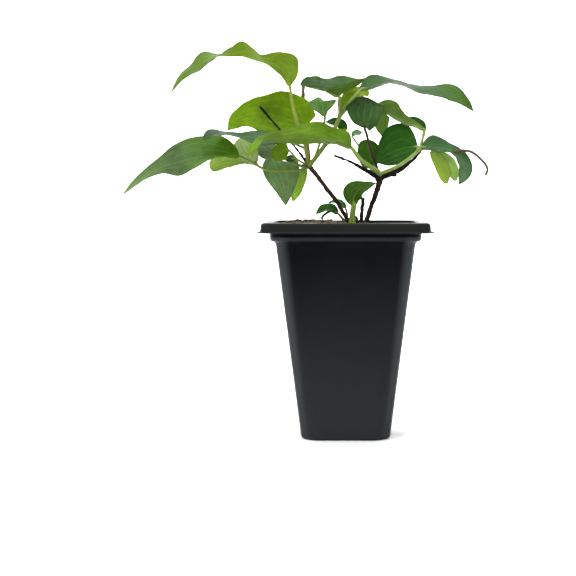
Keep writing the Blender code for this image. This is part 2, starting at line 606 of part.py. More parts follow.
def join(name, pieces):
    """One body out of pieces that overlap."""
    first = pieces[0]
    others = bpy.data.collections.new(name + "_pieces")
    bpy.context.scene.collection.children.link(others)
    for piece in pieces:
        others.objects.link(piece)
    others.objects.unlink(first)
    bpy.context.scene.collection.objects.link(first)
    if len(pieces) > 1:
        union = first.modifiers.new("union", "BOOLEAN")
        union.operation = "UNION"
        union.operand_type = "COLLECTION"
        union.collection = others
    graph = bpy.context.evaluated_depsgraph_get()
    mesh = bpy.data.meshes.new_from_object(first.evaluated_get(graph))
    mesh.name = name
    for piece in pieces:
        bpy.data.objects.remove(piece)
    bpy.data.collections.remove(others)
    return bpy.data.objects.new(name, mesh)


def rounded_square(half, corner, height):
    """Points round a square with round corners, the same number for any size."""
    points = []
    for quarter in range(4):
        start = quarter * math.pi / 2
        centre = Vector((half - corner, half - corner)).to_3d()
        centre.z = height
        turned = Matrix.Rotation(start, 4, "Z") @ centre
        for step in range(CORNER_STEPS + 1):
            angle = start + step / CORNER_STEPS * math.pi / 2
            points.append(turned + corner * Vector((math.cos(angle), math.sin(angle), 0)))
    return points


def loft(name, rings):
    """A closed body through rings of points, with flat ends."""
    bm = bmesh.new()
    loops = [[bm.verts.new(point) for point in ring] for ring in rings]
    bm.faces.new(reversed(loops[0]))
    bm.faces.new(loops[-1])
    for low, high in zip(loops, loops[1:]):
        for i in range(len(low)):
            j = (i + 1) % len(low)
            bm.faces.new((low[i], low[j], high[j], high[i]))
    bmesh.ops.triangulate(bm, faces=bm.faces)
    return mesh_object(name, bm)


def wall_half(height):
    """Half width of the pot's tapered body at a height."""
    share = height / (POT_HEIGHT - RIM_DROP - COLLAR_DROP)
    return FOOT_HALF + (SHOULDER_HALF - FOOT_HALF) * share


def wall_corner(height):
    share = height / (POT_HEIGHT - RIM_DROP - COLLAR_DROP)
    return FOOT_CORNER + (BODY_CORNER - FOOT_CORNER) * share


def body_ring(height, inward=0.0):
    return rounded_square(wall_half(height) - inward, wall_corner(height) - inward, height)


def drain_cutter(index, home):
    """A drainage hole near a corner of the floor."""
    bm = bmesh.new()
    bmesh.ops.create_cone(bm, cap_ends=True, segments=DRAIN_SIDES, radius1=DRAIN_RADIUS,
                          radius2=DRAIN_RADIUS, depth=4 * FLOOR)
    side_x = 1 if index % 2 else -1
    side_y = 1 if index // 2 else -1
    bmesh.ops.translate(bm, verts=bm.verts, vec=(side_x * DRAIN_OFFSET, side_y * DRAIN_OFFSET, 0))
    cutter = mesh_object(f"drain_{index + 1}", bm)
    hide_cutter(cutter, home)
    return cutter


def hide_cutter(cutter, home):
    home.objects.link(cutter)
    cutter.hide_render = True
    cutter.display_type = "WIRE"


def cut(body, cutter):
    hole = body.modifiers.new(cutter.name, "BOOLEAN")
    hole.operation = "DIFFERENCE"
    hole.object = cutter


def make_pot(home, cutters):
    """A thin tapered shell with a stepped collar, and a rim that turns down and flares to a lip."""
    shoulder = POT_HEIGHT - RIM_DROP - COLLAR_DROP
    under_rim = POT_HEIGHT - RIM_DROP
    edge = 0.5 * MM
    rings = [
        rounded_square(FOOT_HALF - FOOT_ROUND, FOOT_CORNER - FOOT_ROUND, 0),
        rounded_square(FOOT_HALF - 0.3 * FOOT_ROUND, FOOT_CORNER, 0.35 * FOOT_ROUND),
        body_ring(1.1 * FOOT_ROUND),
        body_ring(shoulder / 2),
        body_ring(shoulder),
        rounded_square(COLLAR_HALF - edge, BODY_CORNER, shoulder + edge),
        rounded_square(COLLAR_HALF, BODY_CORNER, shoulder + 4 * edge),
        rounded_square(COLLAR_HALF, BODY_CORNER, POT_HEIGHT - WALL),
        rounded_square(RIM_HALF - 2 * WALL, RIM_CORNER - 2 * edge, POT_HEIGHT - WALL),
        rounded_square(RIM_HALF - WALL, RIM_CORNER - edge, under_rim),
        rounded_square(LIP_HALF, RIM_CORNER + 2 * edge, under_rim),
        rounded_square(LIP_HALF, RIM_CORNER + 2 * edge, under_rim + 1.4 * edge),
        rounded_square(RIM_HALF, RIM_CORNER, under_rim + 2.4 * edge),
        rounded_square(RIM_HALF - edge, RIM_CORNER, POT_HEIGHT - 2 * edge),
        rounded_square(RIM_HALF - 3 * edge, RIM_CORNER, POT_HEIGHT),
        rounded_square(RIM_INNER_HALF + edge, BODY_CORNER - edge, POT_HEIGHT),
        rounded_square(RIM_INNER_HALF, BODY_CORNER - WALL, POT_HEIGHT - edge),
        rounded_square(RIM_INNER_HALF, BODY_CORNER - WALL, shoulder + 4 * edge),
        body_ring(shoulder, WALL),
        body_ring(shoulder / 2, WALL),
        body_ring(FLOOR, WALL),
    ]
    pot = loft("pot", rings)
    for index in range(4):
        cut(pot, drain_cutter(index, cutters))
    finish(pot, "pot", home)


def mix_height(x, y):
    """The potting mix's surface: level, with a low mound at the left and small lumps."""
    across = (x - MOUND_CENTRE[0]) / MOUND_REACH[0]
    along = (y - MOUND_CENTRE[1]) / MOUND_REACH[1]
    mound = MIX_MOUND / (1 + across ** 6 + along ** 6)
    return MIX_TOP + mound + MIX_LUMP * noise(Vector((x, y, 0)) * LUMPS_PER_METRE)


def make_mix(home, cutters, holes):
    """The potting mix, clear of the pot, with a plain hole for each stem that stands in it."""
    shoulder = POT_HEIGHT - RIM_DROP - COLLAR_DROP
    inward = WALL + GAP
    half = RIM_INNER_HALF - GAP
    corner = BODY_CORNER - inward
    rings = [
        body_ring(FLOOR + GAP, inward),
        body_ring(shoulder - GAP, inward),
        rounded_square(wall_half(shoulder) - inward, corner, shoulder + GAP / 2),
        rounded_square(half, corner, shoulder + 2.6 * MM),
        rounded_square(half, corner, MIX_TOP - 1.5 * MM),
    ]
    for share in MIX_RINGS:
        ring = rounded_square(half * share, corner * share, 0)
        for point in ring:
            point.z = mix_height(point.x, point.y)
        rings.append(ring)
    mix = loft("potting_mix", rings)
    round_it = 1 / math.cos(math.pi / HOLE_SIDES)
    for name, points, radius in holes:
        start = points[0] + (points[0] - points[1]).normalized() * GAP
        cutter = tube(name, [start] + points[1:], (radius + GAP / MM) * round_it, 2)
        hide_cutter(cutter, cutters)
        cut(mix, cutter)
    finish(mix, "potting_mix", home)


def buried(points):
    """The stretch of a stem from its foot to just above the potting mix."""
    above = [i for i, point in enumerate(points) if point.z > MIX_TOP + 2 * MM]
    return points[:above[0] + 2]


def make_stems(home):
    """The woody stems. Returns the holes that they need in the potting mix."""
    holes = []
    for name, runs in STEMS.items():
        pieces = []
        for index, run in enumerate(runs):
            points = run_of([at(*p) for p in run["path"]])
            pieces.append(tube(f"{name}_{index}", points, run["radius"], 2))
            if index == 0:
                holes.append((name + "_hole", buried(points), max(run["radius"])))
        for which in {"stem_left": ["left"], "stem_right": ["right"]}.get(name, []):
            pieces.append(knot(name + "_knot", which))
        finish(join(name, pieces), "stem", home)
    return holes


def make_leaves(home):
    """Each leaf or leafy stalk, joined with its own stalk. Returns the holes of those in the mix."""
    holes = []
    for name, leaves in LEAVES.items():
        pieces = []
        for index, leaf in enumerate(leaves):
            pieces.append(blade(f"{name}_{index}", leaf))
            points = stalk_points(leaf)
            pieces.append(tube(f"{name}_stalk_{index}", points, leaf["radius"]))
            if points[0].z < MIX_TOP:
                holes.append((f"{name}_hole_{index}", buried(points), max(leaf["radius"])))
        if name in BARE_STALKS:
            bare = BARE_STALKS[name]
            points = run_of([at(*p) for p in bare["path"]])
            pieces.append(tube(name + "_bare", points, bare["radius"]))
        finish(join(name, pieces), "leaf", home)
    return holes


def main():
    clear_scene()
    plant = collection("clematis_in_pot")
    cutters = collection("cutters")
    make_pot(plant, cutters)
    holes = make_stems(plant) + make_leaves(plant)
    make_mix(plant, cutters, holes)


main()
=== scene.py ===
"""Looks of the potted clematis: fine pot, potting mix, bark, leaves with veins, light and camera."""
import math

import bmesh
import bpy
import numpy as np
from mathutils import Matrix, Vector
from mathutils.noise import noise


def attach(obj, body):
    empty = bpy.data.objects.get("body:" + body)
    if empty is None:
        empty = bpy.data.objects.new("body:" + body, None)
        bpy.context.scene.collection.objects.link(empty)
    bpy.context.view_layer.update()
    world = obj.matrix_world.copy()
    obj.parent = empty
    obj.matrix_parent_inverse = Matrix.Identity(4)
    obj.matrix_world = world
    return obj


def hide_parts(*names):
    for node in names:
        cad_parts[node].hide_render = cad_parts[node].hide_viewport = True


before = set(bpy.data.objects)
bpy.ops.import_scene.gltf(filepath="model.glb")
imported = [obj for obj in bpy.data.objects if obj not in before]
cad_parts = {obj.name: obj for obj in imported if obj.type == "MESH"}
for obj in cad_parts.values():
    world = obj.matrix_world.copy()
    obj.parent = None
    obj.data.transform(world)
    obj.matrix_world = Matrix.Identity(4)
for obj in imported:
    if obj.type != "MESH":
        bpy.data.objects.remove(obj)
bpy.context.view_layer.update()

MM = 0.001

# Front drawing, as in the part's source: a unit is 0.6 mm in the pot's middle plane
DRAWING_UNIT = 0.6
EYE_DISTANCE = 900.0
EYE_HEIGHT = 146.1
EYE_ACROSS = 345.6
EYE_DOWN = 191.3

# Camera: the frame is 576 by 576 units of the drawing
FRAME_UNITS = 576
SENSOR = 36.0
CAMERA_TILT = 1.9

# Lights: place, aim, width, power in W and where it differs the height, in m
PLANT_MIDDLE = (0, 0, 0.12)
LIGHTS = {
    "box_above": ((-0.3, -0.35, 1.1), PLANT_MIDDLE, 0.8, 9.0),
    "box_left": ((-1.3, -0.9, 0.4), PLANT_MIDDLE, 1.8, 9.0, 1.0),
    "box_right": ((1.3, -0.9, 0.4), PLANT_MIDDLE, 1.8, 6.0, 1.0),
    "box_floor": ((0, -0.2, 2.2), (0, -0.2, 0), 2.6, 30.0),
    "box_backdrop": ((0, 0.75, 1.2), (0, 1.8, 0.3), 1.6, 60.0, 0.6),
}
SKY_STRENGTH = 0.5

# Sweep, in m: its front edge, the start and radius of its curve, its top and its half width
SWEEP = (-4.0, 0.9, 0.9, 4.0, 5.0)

# Pot, in mm
POT_HEIGHT = 128.0
LIP_HALF = 51.0
RIM_HALF = 49.0
RIM_DROP = 6.0
RIM_INNER_HALF = 42.7
COLLAR_HALF = 43.9
COLLAR_DROP = 5.0
SHOULDER_HALF = 40.8
FOOT_HALF = 26.3
WALL = 1.2
FLOOR = 1.5
BODY_CORNER = 10.0
FOOT_CORNER = 12.0
RIM_CORNER = 7.0
SHOULDER = POT_HEIGHT - RIM_DROP - COLLAR_DROP
CORNER_STEPS = 12
SIDE_STEPS = 14
DRAIN_RADIUS = 3.5
DRAIN_OFFSET = 15.5

# Potting mix, in mm
MIX_TOP = 124.8
MIX_MOUND = 3.6
MOUND_CENTRE = (-18.5, 1.0)
MOUND_REACH = (18.5, 24.0)
CRUMBS = 1500
CHIP_SHARE = 0.25
FINE_CRUMB = 0.9
CRUMB_TINTS = ["#322616", "#42321c", "#554224", "#261d12", "#6a5630", "#201a12", "#7c6c44"]
CLEAR = 0.3
SEED = 7

# Leaves, in mm
BLADE_THICKNESS = 0.5
EDGE_THICKNESS = 0.22
TIP_HALF = 0.15
LARGE_GRID = (96, 26)
SMALL_GRID = (48, 14)
SMALL_LEAF = 26.0
# Rows of a blade stand closer at its ends, where its corners are rounded
END_CROWDING = 0.12
END_ROUND = 0.5
RIB_STEPS = 160
STALK_SIDES = 12
STALK_SWELL = 1.35
STALK_STATIONS = 30
STALK_TAPER = 0.65
STALK_STEP = 1.1
STALK_IN_BLADE = 9.0
VEIN_SINK = 0.26
RUNG_SINK = 0.08
ARCH_WIDTH = 0.36
ARCHES = ((0.36, 1.0), (0.7, 0.8))
PUFF = 0.22
RIPPLE = 0.45
BASE_FADE = 0.45
TIP_FADE = 0.5

# Stems, in mm, but for the sizes of the cells that melt them, which are in m
KNOT_SWELL = 0.4
KNOT_LUMPS = 0.8
FIBRE_RAISE = 0.1
KNOB_RAISE = 0.4
STEM_VOXEL = 0.00028

# Knots are where stalks sit on a stem: a point of the drawing with its depth in mm, and a radius in mm
KNOTS = {
    "left": ((308.5, 165, -7.5), 2.0),
    "right": ((380, 176.5, 1.5), 2.8),
    "brown_low": ((306.9, 149, -0.7), 1.35),
    "brown_high": ((305.9, 141, 4.3), 1.7),
}

# Stems: path points are (across, down, depth in mm), radii in mm run from the foot to the tip
STEMS = {
    "stem_left": [
        dict(path=[(352.5, 245, 4), (350.4, 226, 3), (345, 215.5, 2), (340.6, 207.8, 1),
             (335.5, 199.5, -1), (326.5, 188.7, -3), (320.2, 179.7, -5), (311.2, 168.3, -7),
             (308.5, 165, -7.5)], radius=[1.35, 1.35, 1.35, 1.3, 1.5]),
        dict(path=[(308.5, 165, -7.5), (301, 155, -5.5), (294.6, 146.6, -4.3), (280.5, 130.6, -1),
             (260.2, 106.9, 2)], radius=[0.95, 0.85, 0.75, 0.7]),
        dict(path=[(308.5, 165, -7.5), (307.4, 153.3, -3), (305.5, 138, 6), (304.6, 120, 13),
             (303.5, 100, 14), (303.3, 84, 14)], radius=[1.25, 1.15, 0.95, 0.8, 0.75]),
    ],
    "stem_right": [
        dict(path=[(365.3, 245, 4), (366.4, 226, 4), (366.6, 221.2, 4), (371.2, 205.9, 4),
             (375, 195.9, 3), (378.9, 184.4, 2), (380, 176.5, 1.5)], radius=[1.2, 1.3, 1.3, 1.6]),
        dict(path=[(380, 176.5, 1.5), (386, 174, 1), (394.2, 170.9, 1), (401.8, 167.6, 0.8),
             (413.3, 159.2, 1.8), (422, 149.5, 3.6)], radius=[2.2, 2.3, 1.9, 1.2, 0.8, 0.6]),
        dict(path=[(380, 176.5, 1.5), (375, 175.4, 1), (363.6, 169.1, 1.5), (352.1, 162.6, 1),
             (334.5, 155.4, -1)], radius=[1.8, 1.2, 0.8, 0.7]),
        dict(path=[(391, 172.8, 0.5), (394, 174.6, -0.6), (396.8, 175.6, -1.2)], radius=[1.0, 1.0, 0.35]),
    ],
    "stem_thin": [
        dict(path=[(360.7, 240, 2.4), (361, 226, 2.2), (361.3, 218, 2), (362.2, 208, 1.5),
             (363.4, 198, 1)], radius=[0.75, 0.75]),
    ],
    "stem_stub": [
        dict(path=[(357.9, 238, 0.6), (357.9, 226, 0.8), (357.3, 221, 0.6), (355.9, 216.6, 0)],
             radius=[0.65, 0.55]),
    ],
}


def blade(stalk, rib, face, half, radius=(0.8, 0.6), lobe=0, fold=5, curl=0, **more):
    """One blade on its stalk: the rib goes on from the stalk's end, and one face is a steady one."""
    return dict(stalk=stalk, radius=list(radius), rib=[stalk[-1], *rib], half=half, lobe=lobe,
                fold=fold, curl=curl, face=face if isinstance(face, list) else [face, face], **more)


# Leaves: stalk and rib are paths as above, face is the way the upper side looks at even stations
# along the rib, and half is the half width in mm at even stations from base to tip. A tuple gives
# the two sides of the rib, fold is the angle of each side to the face, and curl its bend outward.
LEAVES = {
    "leaf_top_left": [blade(
        knot="left",
        stalk=[(307.2, 157, -10.5), (305.2, 146, -10.5), (298.7, 127.3, -9.5), (294.6, 113.2, -8),
          (291.6, 98.2, -7), (290, 87, -6)],
        rib=[(286, 80, -6), (278, 72.5, -6), (268, 65, -5), (256, 59.4, -4), (243.6, 56.6, -4),
          (232, 56.6, -5), (222, 56.6, -6), (213, 57.5, -7), (204, 61.5, -8), (196, 67.5, -9),
          (188, 72, -10), (180, 79.5, -11), (170.7, 94.2, -12)],
        face=[(0.8, 0.25, 0.5), (0.5, 0.3, 0.8), (0.2, 0.3, 1), (0, 0.3, 1), (0, 0.2, 1),
          (-0.1, -0.5, 0.87), (-0.3, -0.6, 0.8), (-0.4, -0.6, 0.7), (-0.6, -0.6, 0.5)],
        half=([2, 8, 12.5, 12, 11.5, 11.5, 11, 10, 8.5, 7, 5.5, 2.5, 0], [2, 14, 14, 12, 11.5, 11.5, 11,
          10, 9, 8, 6, 3, 0]),
        fold=([50, 55, 40, 18, 12, 19, 18, -2, 6, -8, -12, -8, 0], [43, 50, 30, -4, 5, 24, 6, 8, 8, 3, 5,
          5, 0]), curl=8)],
    "leaf_round": [blade(
        knot="brown_high", stalk=[(305.2, 139, 0.5), (305, 134.5, 1.3), (305, 130.5, 3.8), (305, 127, 6)],
        rib=[(292, 121, 6.6), (277, 116, 7), (262, 113.5, 7.5), (248, 114.5, 9), (236, 120.5, 11),
          (227.3, 131, 14)], face=[(0.1, -1, 0.35), (0.05, -1, 0.45), (0, -1, 0.5), (-0.3, -0.9, 0.5)],
        half=([9, 15.2, 16.6, 15.6, 11.2, 9.6, 7, 4, 0], [5, 9, 12.5, 14, 13, 10, 8.2, 5.4, 0]),
        lobe=(3, 2), fold=(10, 8), curl=(6, -10), wave=(1.0, 2, 0.3))],
    "leaf_small_cupped": [blade(
        knot="left",
        stalk=[(314, 161, -8), (319, 146, -5), (322.5, 132, -2), (324.4, 122.5, 0), (325, 117, 0)],
        radius=[0.6, 0.55], rib=[(323.5, 110, 1), (321.5, 104, 3), (318.5, 97, 7)],
        face=[(0, -0.85, 0.5), (0, -0.85, 0.5), (0, -0.7, 0.7)],
        half=([1.2, 2.2, 6.5, 9, 2.4, 1.4, 0], [1.5, 3.5, 6.5, 8.5, 8.5, 5, 0]), fold=(12, 12),
        curl=(5, 10))],
    "leaf_top_pair": [blade(
        knot="left",
        stalk=[(313.5, 162, -12), (325.3, 144.7, -8), (335.6, 126.7, -2.5), (339.8, 114.1, -1.5),
          (339.4, 104, -1.5), (339.5, 97, -2)],
        rib=[(333, 94.2, -3), (326, 91.4, -4), (318, 89.6, -5), (309, 87.6, -6), (300, 85.2, -6.5)],
        face=(0, 0, 1),
        half=([17.5, 18, 18, 16, 14, 12.2, 11.5, 11, 10, 8.5, 6.5], [17, 15.5, 13.5, 12, 11, 10, 9, 7, 5,
          3, 1]), lobe=9,
        fold=([65, 58, 54, 50, 42, 42, 48, 47, 46, 51, 56], [65, 52, 40, 23, 9, 0, -3, 0, 0, 0, 0])), blade(
        stalk=[(339.2, 117, -1.8), (350, 103, 0), (361.4, 90, 1)],
        rib=[(374, 85.2, 2), (391, 82.8, 3), (410, 86.5, 3), (428, 90, 2), (449, 93, 1), (463, 101, 0),
          (474.1, 112.6, -1)],
        face=[(0.2, -0.75, 0.65), (0.1, -0.7, 0.75), (0, -0.6, 0.8), (0, -0.55, 0.85), (0.25, -0.8, 0.65),
          (0.4, -0.8, 0.5)], half=([2.5, 9, 9.5, 9.5, 9, 8.5, 8, 5, 0], [2, 9, 10, 9.5, 9, 8.5, 8, 5, 0]),
        lobe=1, fold=([30, 32, 32, 26, 10, 8, 6, 10, 10], [0, 0, -22, -27, -20, -8, 0, -8, 0]),
        curl=3), blade(
        stalk=[(338.6, 119, -1.6), (342, 112, 3), (345, 107.5, 7)], radius=[0.7, 0.6],
        rib=[(349.5, 101, 8), (356, 95.5, 10), (363, 93, 12), (369, 95.5, 13)],
        face=[(-0.2, -0.9, 0.4), (0, -0.8, 0.6), (0.2, -0.8, 0.5)],
        half=([1.5, 3, 3.4, 3, 1.4], [1.5, 5.5, 6.4, 4.6, 2]), lobe=2, fold=8)],
    "leaf_dark_heart": [blade(
        knot="right",
        stalk=[(377.4, 169, 3), (375.4, 163, -1.5), (370.5, 149.9, -5), (366.5, 134, -6),
          (364.8, 129, -5.5), (364.5, 126.5, -5)], radius=[0.55, 0.5],
        rib=[(364, 117, -4), (365, 107, -2), (366.5, 97.5, 1)],
        face=[(0.1, -0.95, 0.3), (0.1, -0.95, 0.3), (0.2, -0.9, 0.3)],
        half=([3, 7.5, 9.4, 10.2, 11.2, 11.5, 10.8, 6.3, 2.5], [1.5, 6.2, 8.4, 10.3, 11.9, 9.8, 7.6, 6.3,
          3.3]), lobe=(3, 1), fold=8, curl=6)],
    "leaf_right_spray": [blade(
        knot="right",
        stalk=[(382.2, 170.4, -5.5), (396, 167, -4.4), (405, 161.6, -2.9), (418.3, 150.5, -1),
          (421.5, 142.2, 1), (424.5, 130.5, 3)],
        rib=[(414, 125.3, 6), (404, 119.8, 8.5), (395, 113.2, 11), (388, 110, 13), (382.5, 114, 14),
          (381, 126, 14.5), (382.5, 137.8, 15)],
        face=[(0.3, -0.6, 0.7), (0.3, -0.6, 0.7), (0.2, -0.7, 0.7), (-0.2, -0.9, 0.4), (-0.4, -0.9, 0.1)],
        half=([1, 3.2, 4, 4.8, 7.4, 5.2, 3.6, 0], [1.5, 3.5, 6, 6.8, 5, 5.4, 4.6, 0]), fold=8,
        curl=5), blade(
        stalk=[(422.5, 138.5, 1.8), (423.5, 130, 8)], radius=[0.55, 0.5],
        rib=[(419, 124.5, 11), (412.5, 120.5, 14), (405, 118, 17)],
        face=[(0.2, -0.8, 0.5), (0.1, -0.8, 0.6), (0, -0.8, 0.6)], half=[1.5, 3.6, 3.8, 2.6, 0], lobe=1,
        fold=8), blade(
        stalk=[(411, 157, -2), (417, 151, 1), (417.5, 146.5, 4)], radius=[0.6, 0.6],
        rib=[(404, 148, 6), (390, 153, 6), (375, 162, 4)], face=(0, -1, 0.25),
        half=([7, 13.5, 15.5, 14.5, 10, 5, 0], [2, 6, 8, 8.8, 8.4, 6.5, 0]), fold=(6, 8),
        curl=(4, 4)), blade(
        stalk=[(416, 153, -1.2), (421, 147.2, -2)], radius=[0.7, 0.6],
        rib=[(432, 147, -3), (445, 148.5, -4), (454, 151.2, -4.5), (461, 157, -5), (464.3, 166, -6),
          (462.5, 176, -6.5), (458, 185.5, -7)],
        face=[(0, -0.8, 0.55), (0.1, -0.8, 0.6), (0.5, -0.7, 0.5), (0.7, -0.7, 0.2)],
        half=([2, 3, 4.6, 2.4, 3.6, 5.5, 4.7, 3, 0], [2, 8, 7.2, 4.6, 4.2, 5.2, 6, 4, 0]), curl=5), blade(
        stalk=[(417.6, 151.3, -1), (424.5, 148, -0.5), (430, 149, 2.5), (432, 150, 4)], radius=[0.6, 0.5],
        rib=[(437, 160, 4), (443, 173, 4), (446.5, 184, 3.5)],
        face=[(-0.2, -0.9, 0.3), (-0.2, -0.9, 0.2), (-0.2, -0.95, 0.1)],
        half=([2, 3, 3.2, 3.4, 3, 1], [2.5, 4, 4.6, 5.2, 4, 1]), fold=6), blade(
        stalk=[(427, 148.2, 1), (432, 149.4, 3), (438, 152, 5.4)], radius=[0.5, 0.45],
        rib=[(446, 159.5, 6), (452, 169, 6), (455.8, 181, 5.5)],
        face=[(-0.2, -0.9, 0.3), (0, -0.95, 0.2)], half=([1.5, 3, 4, 4, 3.2, 1], [1.5, 3, 4, 4, 3.2, 1]),
        fold=6)],
    "leaf_right_behind": [blade(
        knot="right", stalk=[(378.5, 170, 6), (376, 166, 9)], radius=[0.6, 0.6],
        rib=[(369.5, 157, 11), (367, 149, 12), (367, 139.5, 12)], face=(0, -1, 0.2),
        half=([2, 5.5, 8, 7.6, 5], [5, 7, 6.5, 5.5, 3.5])), blade(
        stalk=[(376.5, 166.8, 8.5), (366, 155, 16), (356, 142, 18), (352, 136, 18)], radius=[0.5, 0.45],
        rib=[(354, 134, 18), (358, 133, 19), (363, 132.5, 20)], face=(0, -0.8, 0.5),
        half=[1, 2.2, 2.2, 0])],
    "leaf_centre": [blade(
        knot="right",
        stalk=[(377.2, 170.3, -2), (370.5, 167.1, -6), (360.9, 160.1, -11), (351.5, 148, -15)],
        rib=[(340, 144.5, -17), (322, 143, -20), (303, 143.6, -23), (285, 143, -26), (272, 140.5, -28),
          (262, 141.5, -28.5), (254.5, 147, -29), (247.8, 156.5, -30)],
        face=[(0.1, 0.25, 1), (0, 0.25, 1), (0, 0.2, 1), (0, 0.1, 1), (0, -0.5, 0.8), (-0.5, -0.7, 0.5)],
        half=([13, 13, 15, 14.5, 13, 11, 8, 5, 0], [3, 9, 14, 14.5, 13, 11, 8, 5, 0]),
        fold=([74, 60, 68, 67, 56, 46, 10, -12, 0], [0, -10, -6, 4, 14, 20, 42, 18, 10]), curl=3)],
    "leaf_left_long": [blade(
        knot="left",
        stalk=[(304.2, 170.5, -10.2), (298, 170.8, -11.5), (281.9, 170.8, -13), (266.6, 169.9, -14),
          (253.2, 163.2, -15), (239.5, 156.6, -16)],
        rib=[(222, 156, -17), (200, 157, -18), (180, 161.5, -19), (160, 168, -20), (141, 179.5, -21),
          (121.2, 196.2, -22)],
        face=[(0, -0.75, 0.6), (0, -0.75, 0.65), (-0.1, -0.75, 0.65), (-0.2, -0.75, 0.6),
          (-0.4, -0.7, 0.5)],
        half=([5, 14, 15, 15, 12.5, 7, 4.5, 3, 0], [4, 10, 11, 11.5, 11.5, 6, 3, 2, 0]),
        fold=(4, [30, 45, 30, 12, 0, 5, 10, 10, 10]), curl=4), blade(
        stalk=[(256, 165.2, -14.9), (252, 163.5, -11), (249, 162, -7)], radius=[0.55, 0.5],
        rib=[(236, 160, -6), (222, 161, -5), (209.5, 167, -3)], face=(0, -0.8, 0.5),
        half=([2, 4, 5, 5, 3], [1, 4, 6, 6.5, 4])), blade(
        stalk=[(262, 168.3, -14.3), (258.5, 166, -12), (256.5, 163, -9)], radius=[0.55, 0.5],
        rib=[(250.5, 157, -6), (245, 149, -4), (240, 138, -2)], face=(0, -1, 0.2),
        half=[2, 5.5, 7, 6.5, 3])],
    "leaf_left_grey": [blade(
        knot="brown_low", stalk=[(302, 147.5, -4.5), (295, 144, -9), (286, 142, -10)], radius=[0.6, 0.55],
        rib=[(268, 139.5, -12), (252, 138, -14), (236, 135.5, -17), (221, 134, -20), (209.5, 135.5, -24),
          (202, 140.5, -26)],
        face=[(0, -0.4, 0.95), (0, -0.45, 0.9), (0, -0.3, 0.95), (0, -0.4, 0.9), (-0.3, -0.6, 0.7)],
        half=[4, 9, 9.5, 8.5, 7.5, 7, 0], lobe=1, fold=([5, 5, 6, 0, -8, 4, 0], [5, 5, -6, 0, 14, 10, 5]),
        curl=3)],
    "leaf_hanging": [blade(
        knot="left",
        stalk=[(303, 166, -5.2), (297.5, 165, -6), (288.3, 163.2, -8), (277.4, 160.5, -7),
          (273.5, 157.5, -6)], radius=[0.65, 0.6],
        rib=[(275.5, 167, -5), (281, 178, -5), (284.6, 191, -5), (286, 206.2, -5)],
        face=[(0, -1, 0.4), (0, -1, 0.2), (0, -1, 0.1)],
        half=([4.2, 7.8, 8.4, 7.6, 5.7, 3.3, 0], [6, 13, 13.2, 10.2, 6.6, 3.3, 0]), lobe=(1, -3),
        fold=4), blade(
        stalk=[(299, 165.4, -5.8), (301.5, 166.5, -2), (304, 168, 0)], radius=[0.5, 0.5],
        rib=[(302, 176, 1), (299, 187, 2), (292.5, 201, 3)], face=(0, -1, 0.1),
        half=([2, 4, 4, 3, 1], [2.5, 3.2, 2.8, 2.6, 1]))],
    "leaf_left_small": [blade(
        knot="left", stalk=[(302.4, 163, -11.2), (297.5, 159.5, -15), (293.4, 155, -19), (289, 150, -21)],
        radius=[0.55, 0.5], rib=[(284.5, 150.5, -21.5), (279, 154, -21.5), (273.5, 160, -21)],
        face=(0, -1, 0.3), half=[3, 5.2, 5.4, 3.8, 0.5]), blade(
        stalk=[(297.5, 159.5, -15), (288, 157.5, -11), (279, 156.5, -3), (276, 156, 1)],
        radius=[0.5, 0.45], rib=[(270, 152, 1), (264, 147, 2), (258, 143, 3)], face=(0, -1, 0.3),
        half=[2, 5.2, 6.4, 5, 1]), blade(
        stalk=[(298.4, 160.2, -14.2), (296, 158.4, -13.8)], radius=[0.5, 0.45],
        rib=[(290, 158.6, -13.2), (284, 160, -12.6)], face=(0, -1, 0.3), half=[1, 2.2, 1.8, 0])],
    "leaf_centre_behind": [blade(
        knot="left", stalk=[(313.5, 162, -3.5), (326, 146, 6), (340, 136, 12), (346, 130.5, 13)],
        radius=[0.55, 0.5], rib=[(341, 124.5, 14), (334, 121.8, 15), (325, 122.5, 16)],
        face=(0, -0.8, 0.5), half=[1.5, 3.2, 3.4, 2.4, 0])],
    "shoot_broad": [blade(
        stalk=[(352.2, 240, 0.8), (352.1, 224.5, 0), (352.9, 211.2, -1), (353.8, 206, -1)],
        radius=[1.2, 1.2, 0.8],
        rib=[(353.5, 198, -1), (358, 190.5, -2), (366, 186.5, -3), (377, 183, -5)],
        face=[(0.5, -0.7, 0.6), (0.2, -0.7, 0.7), (0, -0.6, 0.8)],
        half=([2, 4.5, 6.5, 6, 4, 0], [2, 7, 7.5, 5, 3, 0]), fold=10, curl=5)],
    "shoot_low": [blade(
        stalk=[(346.4, 238, 7), (345.6, 228, 5), (345.2, 222.5, 4.2), (342, 218, 4.2), (338, 213.5, 4.2)],
        radius=[0.7, 0.6], rib=[(331, 208.5, 4.2), (324, 208.5, 4.2), (315.4, 214.3, 4.2)],
        face=[(0, -0.7, 0.7), (0, -0.6, 0.8), (-0.3, -0.6, 0.6)], half=[1.5, 3.5, 4, 3, 0],
        fold=10), blade(
        stalk=[(346.4, 238, 7), (347.3, 228, 9), (347.5, 219, 10), (347, 213, 10), (345.5, 208.2, 10)],
        radius=[0.6, 0.5], rib=[(341, 203, 11), (335, 201, 12), (327.6, 202.8, 13)],
        face=[(0, -0.6, 0.8), (0, -0.5, 0.8)], half=[1, 2.5, 2.5, 1.8, 0])],
}

